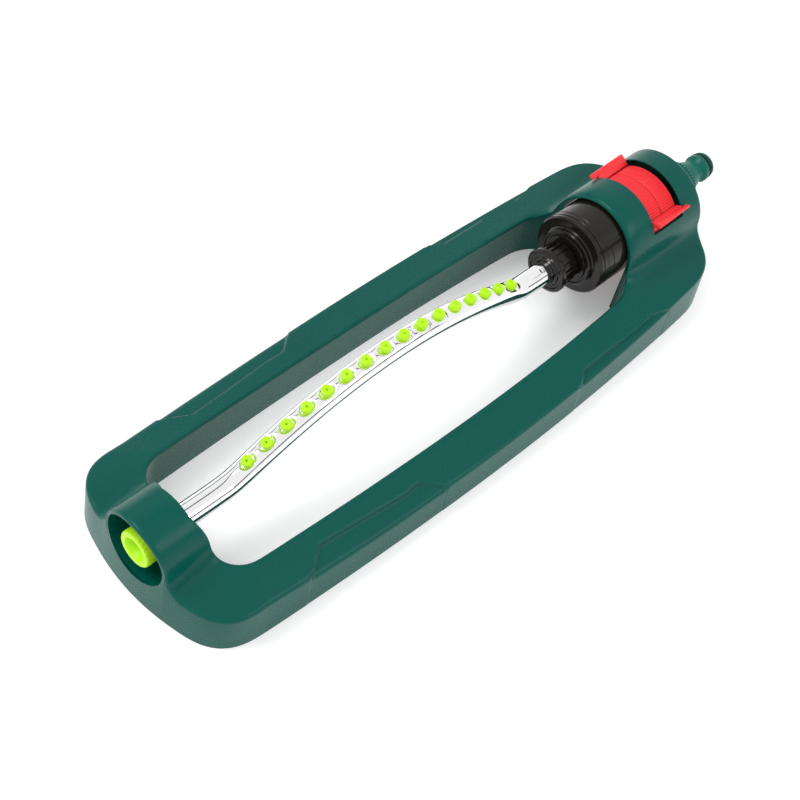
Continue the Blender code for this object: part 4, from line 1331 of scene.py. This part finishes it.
@dataclass
class StopRings:
    """The two red rings that set the width of the swing, each with a finger tab on top."""

    shop: Workshop
    radius: float = 0.0246
    drum: float = 0.0190
    start: float = 0.3472
    width: float = 0.0113
    gap: float = 0.0006
    tab_turn: float = math.radians(55.0)
    tab_top: float = 0.0320
    shelf: float = 0.0285
    ledge: float = 0.0042
    stop_end: float = 0.3762
    ribs: int = 104
    rib_depth: float = 0.00055
    lip: float = 0.0007

    def band(self, name: str, start: float, inner: float) -> bpy.types.Object:
        """A band with fine grip ribs between two plain lips."""
        first, last = self.shop.along(start), self.shop.along(start + self.width)
        outer = self.radius
        rings = [
            (first, inner),
            (first, outer - 0.0003),
            (first + 0.0003, outer),
            (first + self.lip, outer),
            (first + self.lip + 0.0002, outer),
            (last - self.lip - 0.0002, outer),
            (last - self.lip, outer),
            (last - 0.0003, outer),
            (last, outer - 0.0003),
            (last, inner),
        ]
        obj = turned(name, rings, self.shop.height, self.ribs * 4, hollow=True)
        span = (first + self.lip + 0.0001, last - self.lip - 0.0001)
        ribbed(obj, self.shop.height, self.ribs, self.rib_depth, outer - 0.0001, span)
        return obj

    def tab(self, name: str, turn: float, side: float) -> bpy.types.Object:
        """A finger tab: a foot on the band, a stepped block, and a pointed ledge over the frame.

        Args:
            name: The piece's name.
            turn: Its angle from +Y.
            side: 1.0 for the tab of the front ring, -1.0 for that of the rear ring.

        Returns:
            The tab as one body.
        """
        at = self.shop.along
        first, last = at(self.start), at(self.start + 2 * self.width + self.gap)
        own = self.start if side > 0 else self.start + self.width + self.gap
        inside = self.radius - 0.0008
        low, high = at(own + 0.0003), at(own + self.width - 0.0003)
        foot = block(f"{name}_foot", (low, -0.0017, inside), (high, 0.0017, 0.0262))
        body = block(f"{name}_body", (first, -0.0036, 0.0252), (last, 0.0022, 0.0292))
        for vertex in body.data.vertices:
            if vertex.co.y > 0.0 and vertex.co.z > 0.028:
                vertex.co.z = 0.0266
        reach = (first - self.ledge, last) if side > 0 else (first, last + self.ledge)
        head = block(f"{name}_head", (reach[0], -0.0017, self.shelf), (reach[1], 0.0017, self.tab_top))
        tip = reach[0] if side > 0 else reach[1]
        for vertex in head.data.vertices:
            along_x, across, up = vertex.co
            raised = up > 0.030
            if abs(along_x - tip) < 0.0001:
                vertex.co.y = across * 0.35
                vertex.co.z = up - 0.0006 if raised else up
            elif raised:
                vertex.co.y = across * 0.62
        head.data.transform(Matrix.Translation((0.0, -0.0019, 0.0)))
        for part in (body, head):
            part.data.transform(Matrix.Diagonal((1.0, side, 1.0, 1.0)))
            if side < 0:
                part.data.flip_normals()
        unite(body, [foot, head])
        round_edges(body, 0.00035, 2, 35.0)
        spin = Matrix.Rotation(turn - math.pi / 2, 4, "X")
        body.data.transform(Matrix.Translation((0.0, 0.0, self.shop.height)) @ spin)
        body.name = name
        return body

    def ring(self, node: str, start: float, inner: float, turn: float, side: float) -> bpy.types.Object:
        """One whole ring with its tab and the stop that limits the lever."""
        at, end = self.shop.along, start + self.width
        obj = self.band(f"{node}_ring", start, inner)
        half = math.radians(4.0)
        opposite = turn + math.pi
        outer = self.drum + 0.0022
        extras = [self.tab(f"{node}_tab", turn, side)]
        if inner > outer:
            low, high = opposite - half * 0.8, opposite + half * 0.8
            root = arc(outer - 0.0006, low, high, 3) + arc(inner + 0.0010, high, low, 3)
            extras.append(plate("root", root, at(end - 0.0055), at(end - 0.0006), self.shop.height))
        low, high = opposite - half, opposite + half
        stop = arc(self.drum + 0.0009, low, high, 3) + arc(outer, high, low, 3)
        extras.append(plate("stop", stop, at(end - 0.0060), at(self.stop_end), self.shop.height))
        unite(obj, extras)
        smooth(obj, 30.0)
        return obj

    def build(self) -> None:
        """Makes both rings."""
        shop = self.shop
        far, near = math.pi / 2 - self.tab_turn, math.pi / 2 + self.tab_turn
        second = self.start + self.width + self.gap
        first_ring = self.ring("far", self.start, self.drum + 0.0006, far, 1.0)
        second_ring = self.ring("near", second, self.drum + 0.0026, near, -1.0)
        shop.place(first_ring, "stop_plastic", "far_stop", "limit_ring_far")
        shop.place(second_ring, "stop_plastic", "near_stop", "limit_ring_near")


# ---------------------------------------------------------------- hose connector


@dataclass
class HoseConnector:
    """The knurled body and plug-in nipple at the rear, with its washer and O-ring."""

    shop: Workshop
    start: float = 0.3924
    length: float = 0.0351
    collar: float = 0.0126
    collar_length: float = 0.0130
    nipple: float = 0.0083
    bore: float = 0.0043
    socket: float = 0.0092
    knurls: int = 44
    knurl_depth: float = 0.0007

    def body(self) -> bpy.types.Object:
        """The connector's body, turned from the collar to the tip, with a ribbed collar."""
        at, seat = self.shop.along, self.nipple
        tip = self.start + self.length
        root = self.start + self.collar_length
        rings = [
            (at(self.start), self.collar - 0.0006),
            (at(self.start + 0.0005), self.collar),
            (at(self.start + 0.0012), self.collar),
            (at(self.start + 0.0016), self.collar),
            (at(root - 0.0018), self.collar),
            (at(root - 0.0010), self.collar - 0.0008),
            (at(root), self.collar - 0.0016),
            (at(root + 0.0002), seat + 0.0018),
            (at(root + 0.0012), seat + 0.0007),
            (at(tip - 0.0158), seat + 0.0001),
            (at(tip - 0.0152), seat - 0.0002),
            (at(tip - 0.0142), seat - 0.0017),
            (at(tip - 0.0136), seat - 0.0020),
            (at(tip - 0.0097), seat - 0.0020),
            (at(tip - 0.0092), seat - 0.0016),
            (at(tip - 0.0082), seat - 0.0003),
            (at(tip - 0.0078), seat),
            (at(tip - 0.0053), seat),
            (at(tip - 0.0050), seat - 0.0003),
            (at(tip - 0.0050), seat - 0.0022),
            (at(tip - 0.0048), seat - 0.0024),
            (at(tip - 0.0024), seat - 0.0024),
            (at(tip - 0.0022), seat - 0.0022),
            (at(tip - 0.0022), seat - 0.0006),
            (at(tip - 0.0010), seat - 0.0006),
            (at(tip - 0.0003), seat - 0.0010),
            (at(tip), seat - 0.0016),
            (at(tip), self.bore + 0.0005),
            (at(tip - 0.0005), self.bore),
            (at(self.start + 0.0050), self.bore),
            (at(self.start + 0.0050), self.socket),
            (at(self.start), self.socket),
        ]
        obj = turned("nipple", rings, self.shop.height, self.knurls * 4, hollow=True)
        span = (at(self.start + 0.0014), at(root - 0.0005))
        ribbed(obj, self.shop.height, self.knurls, self.knurl_depth, self.collar - 0.0012, span)
        smooth(obj, 28.0)
        return obj

    def washer(self) -> bpy.types.Object:
        """The flat rubber washer between frame and connector."""
        low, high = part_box("connector_washer")
        outer, inner = self.collar - 0.0004, 0.0094
        rings = [(high.x, outer), (low.x, outer), (low.x, inner), (high.x, inner)]
        obj = turned("washer", rings, self.shop.height, 96, hollow=True)
        round_edges(obj, 0.00015, 2)
        smooth(obj)
        return obj

    def o_ring(self) -> bpy.types.Object:
        """The O-ring in the tip's groove."""
        low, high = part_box("connector_o_ring")
        thin = (high.x - low.x) / 2 * 1.12
        deselect()
        bpy.ops.mesh.primitive_torus_add(
            major_radius=(high.y - low.y) / 2 - thin,
            minor_radius=thin,
            major_segments=96,
            minor_segments=20,
            location=((low.x + high.x) / 2, 0.0, self.shop.height),
            rotation=(0.0, math.pi / 2, 0.0),
        )
        obj = name_new("tip_ring")
        smooth(obj, 60.0)
        return obj

    def build(self) -> None:
        """Makes the connector and its seals."""
        self.shop.place(self.body(), "connector_plastic", "base", "hose_connector")
        self.shop.place(self.washer(), "seal_rubber", "base", "connector_washer")
        self.shop.place(self.o_ring(), "seal_rubber", "base", "connector_o_ring")


# ---------------------------------------------------------------- inside pieces


@dataclass
class Insides:
    """The pieces inside the motor that keep their CAD shape and only get their materials."""

    shop: Workshop
    nodes: dict

    def build(self, replaced: set[str]) -> None:
        """Dresses every CAD node that no finer piece stands for.

        Args:
            replaced: Names of the nodes that aren't shown.
        """
        slots = {part["node"]: part["material_slot"] for part in self.shop.record["subparts"]}
        for name, obj in self.nodes.items():
            if name in replaced:
                continue
            obj.data.materials.clear()
            obj.data.materials.append(self.shop.finishes.made[slots[name]])
            LOG.info("%s keeps its CAD shape in %s", name, slots[name])


# ---------------------------------------------------------------- studio


@dataclass
class Studio:
    """A pale floor, soft light, dark cards for the bright tube, and the camera."""

    position: tuple[float, float, float] = (-0.4929, -0.2863, 0.7153)
    azimuth: float = math.radians(-57.881)
    elevation: float = math.radians(52.347)
    roll: float = math.radians(17.155)
    lens: float = 76.104
    sensor: float = 36.0
    shift: tuple[float, float] = (0.003125, -0.01375)
    floor_lift: float = 0.22
    horizon: float = 1.0
    overhead: float = 0.93

    def camera(self) -> None:
        """Places the camera by its azimuth, elevation and roll."""
        sin_a, cos_a = math.sin(self.azimuth), math.cos(self.azimuth)
        sin_e, cos_e = math.sin(self.elevation), math.cos(self.elevation)
        back = Vector((sin_a * cos_e, -cos_a * cos_e, sin_e))
        right = Vector((cos_a, sin_a, 0.0))
        up = back.cross(right)
        sin_r, cos_r = math.sin(self.roll), math.cos(self.roll)
        tilted_right = cos_r * right + sin_r * up
        tilted_up = cos_r * up - sin_r * right
        turn = Matrix((tilted_right, tilted_up, back)).transposed().to_4x4()
        bpy.ops.object.camera_add()
        camera = bpy.context.object
        camera.name = "camera"
        camera.matrix_world = Matrix.Translation(self.position) @ turn
        camera.data.sensor_width = self.sensor
        camera.data.lens = self.lens
        camera.data.shift_x, camera.data.shift_y = self.shift
        camera.data.clip_start = 0.05
        camera.data.clip_end = 20.0
        camera.data.dof.use_dof = False
        bpy.context.scene.camera = camera

    def lamp(self, name: str, place: Sequence[float], size: Sequence[float], power: float) -> None:
        """A soft rectangular light aimed at the middle of the sprinkler."""
        deselect()
        bpy.ops.object.light_add(type="AREA", location=place)
        lamp = bpy.context.object
        lamp.name = name
        lamp.data.shape = "RECTANGLE"
        lamp.data.size, lamp.data.size_y = size
        lamp.data.energy = power
        aim = Vector((0.0, 0.0, 0.03)) - Vector(place)
        lamp.rotation_euler = aim.to_track_quat("-Z", "Y").to_euler()

    def world(self) -> None:
        """A white surround that is bright near the horizon and dimmer overhead."""
        world = bpy.data.worlds.new("surround")
        world.use_nodes = True
        nodes, links = world.node_tree.nodes, world.node_tree.links
        ground = nodes["Background"]
        ground.inputs["Color"].default_value = (1.0, 1.0, 1.0, 1.0)
        place = nodes.new("ShaderNodeTexCoord")
        split = nodes.new("ShaderNodeSeparateXYZ")
        links.new(place.outputs["Generated"], split.inputs["Vector"])
        fade = nodes.new("ShaderNodeMapRange")
        fade.inputs["From Min"].default_value = 0.05
        fade.inputs["From Max"].default_value = 0.75
        fade.inputs["To Min"].default_value = self.horizon
        fade.inputs["To Max"].default_value = self.overhead
        links.new(split.outputs["Z"], fade.inputs["Value"])
        links.new(fade.outputs["Result"], ground.inputs["Strength"])
        bpy.context.scene.world = world

    def floor(self) -> None:
        """The pale floor."""
        deselect()
        bpy.ops.mesh.primitive_plane_add(size=30.0, location=(0.0, 0.0, -0.0001))
        floor = name_new("floor")
        paint = bpy.data.materials.new("floor_white")
        paint.use_nodes = True
        surface = paint.node_tree.nodes["Principled BSDF"]
        surface.inputs["Base Color"].default_value = (0.93, 0.93, 0.93, 1.0)
        surface.inputs["Roughness"].default_value = 0.95
        surface.inputs["Emission Color"].default_value = (1.0, 1.0, 1.0, 1.0)
        surface.inputs["Emission Strength"].default_value = self.floor_lift
        floor.data.materials.append(paint)
        floor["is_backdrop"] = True

    def card(self, name: str, place: Sequence[float], size: Sequence[float]) -> None:
        """A dark card that only shows in reflections."""
        deselect()
        bpy.ops.mesh.primitive_plane_add(size=1.0, location=place)
        card = bpy.context.object
        card.scale = (*size, 1.0)
        aim = Vector((0.0, 0.0, 0.05)) - Vector(place)
        card.rotation_euler = aim.to_track_quat("Z", "Y").to_euler()
        card = name_new(name)
        paint = bpy.data.materials.new(name)
        paint.use_nodes = True
        surface = paint.node_tree.nodes["Principled BSDF"]
        surface.inputs["Base Color"].default_value = (0.01, 0.01, 0.01, 1.0)
        surface.inputs["Roughness"].default_value = 1.0
        card.data.materials.append(paint)
        card.visible_camera = False
        card.visible_diffuse = False
        card.visible_shadow = False
        card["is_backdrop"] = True

    def build(self) -> None:
        """Sets up the whole studio."""
        self.world()
        self.floor()
        bpy.context.scene.view_settings.view_transform = "Standard"
        self.lamp("key", (-0.9, 0.7, 1.4), (0.7, 0.7), 13.0)
        self.lamp("fill", (0.6, -1.3, 1.1), (1.0, 0.6), 5.0)
        self.card("card_left", (0.1, 1.2, 0.45), (1.8, 0.17))
        self.card("card_right", (0.1, -1.0, 0.42), (1.8, 0.17))
        self.card("card_over", (0.15, 0.16, 0.80), (1.6, 0.085))
        self.camera()


# ---------------------------------------------------------------- main


def corners() -> list[list[float]]:
    """The shown object's box as plain lists."""
    return [[float(value) for value in corner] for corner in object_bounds()]


def main() -> None:
    """Builds every sub-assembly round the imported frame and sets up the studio."""
    logging.basicConfig(level=logging.INFO, format="%(name)s: %(message)s")
    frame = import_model()
    low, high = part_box("end_plug")
    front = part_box("sled_frame")[0].x
    shop = Workshop((low.z + high.z) / 2, front, Finishes(), frame["record"])
    for assembly in (SledFrame, SprayTube, FrontEnd, WaterMotor, StopRings, HoseConnector):
        assembly(shop).build()
    Insides(shop, frame["nodes"]).build(shop.replaced)
    Studio().build()


if __name__ == "__main__":
    main()
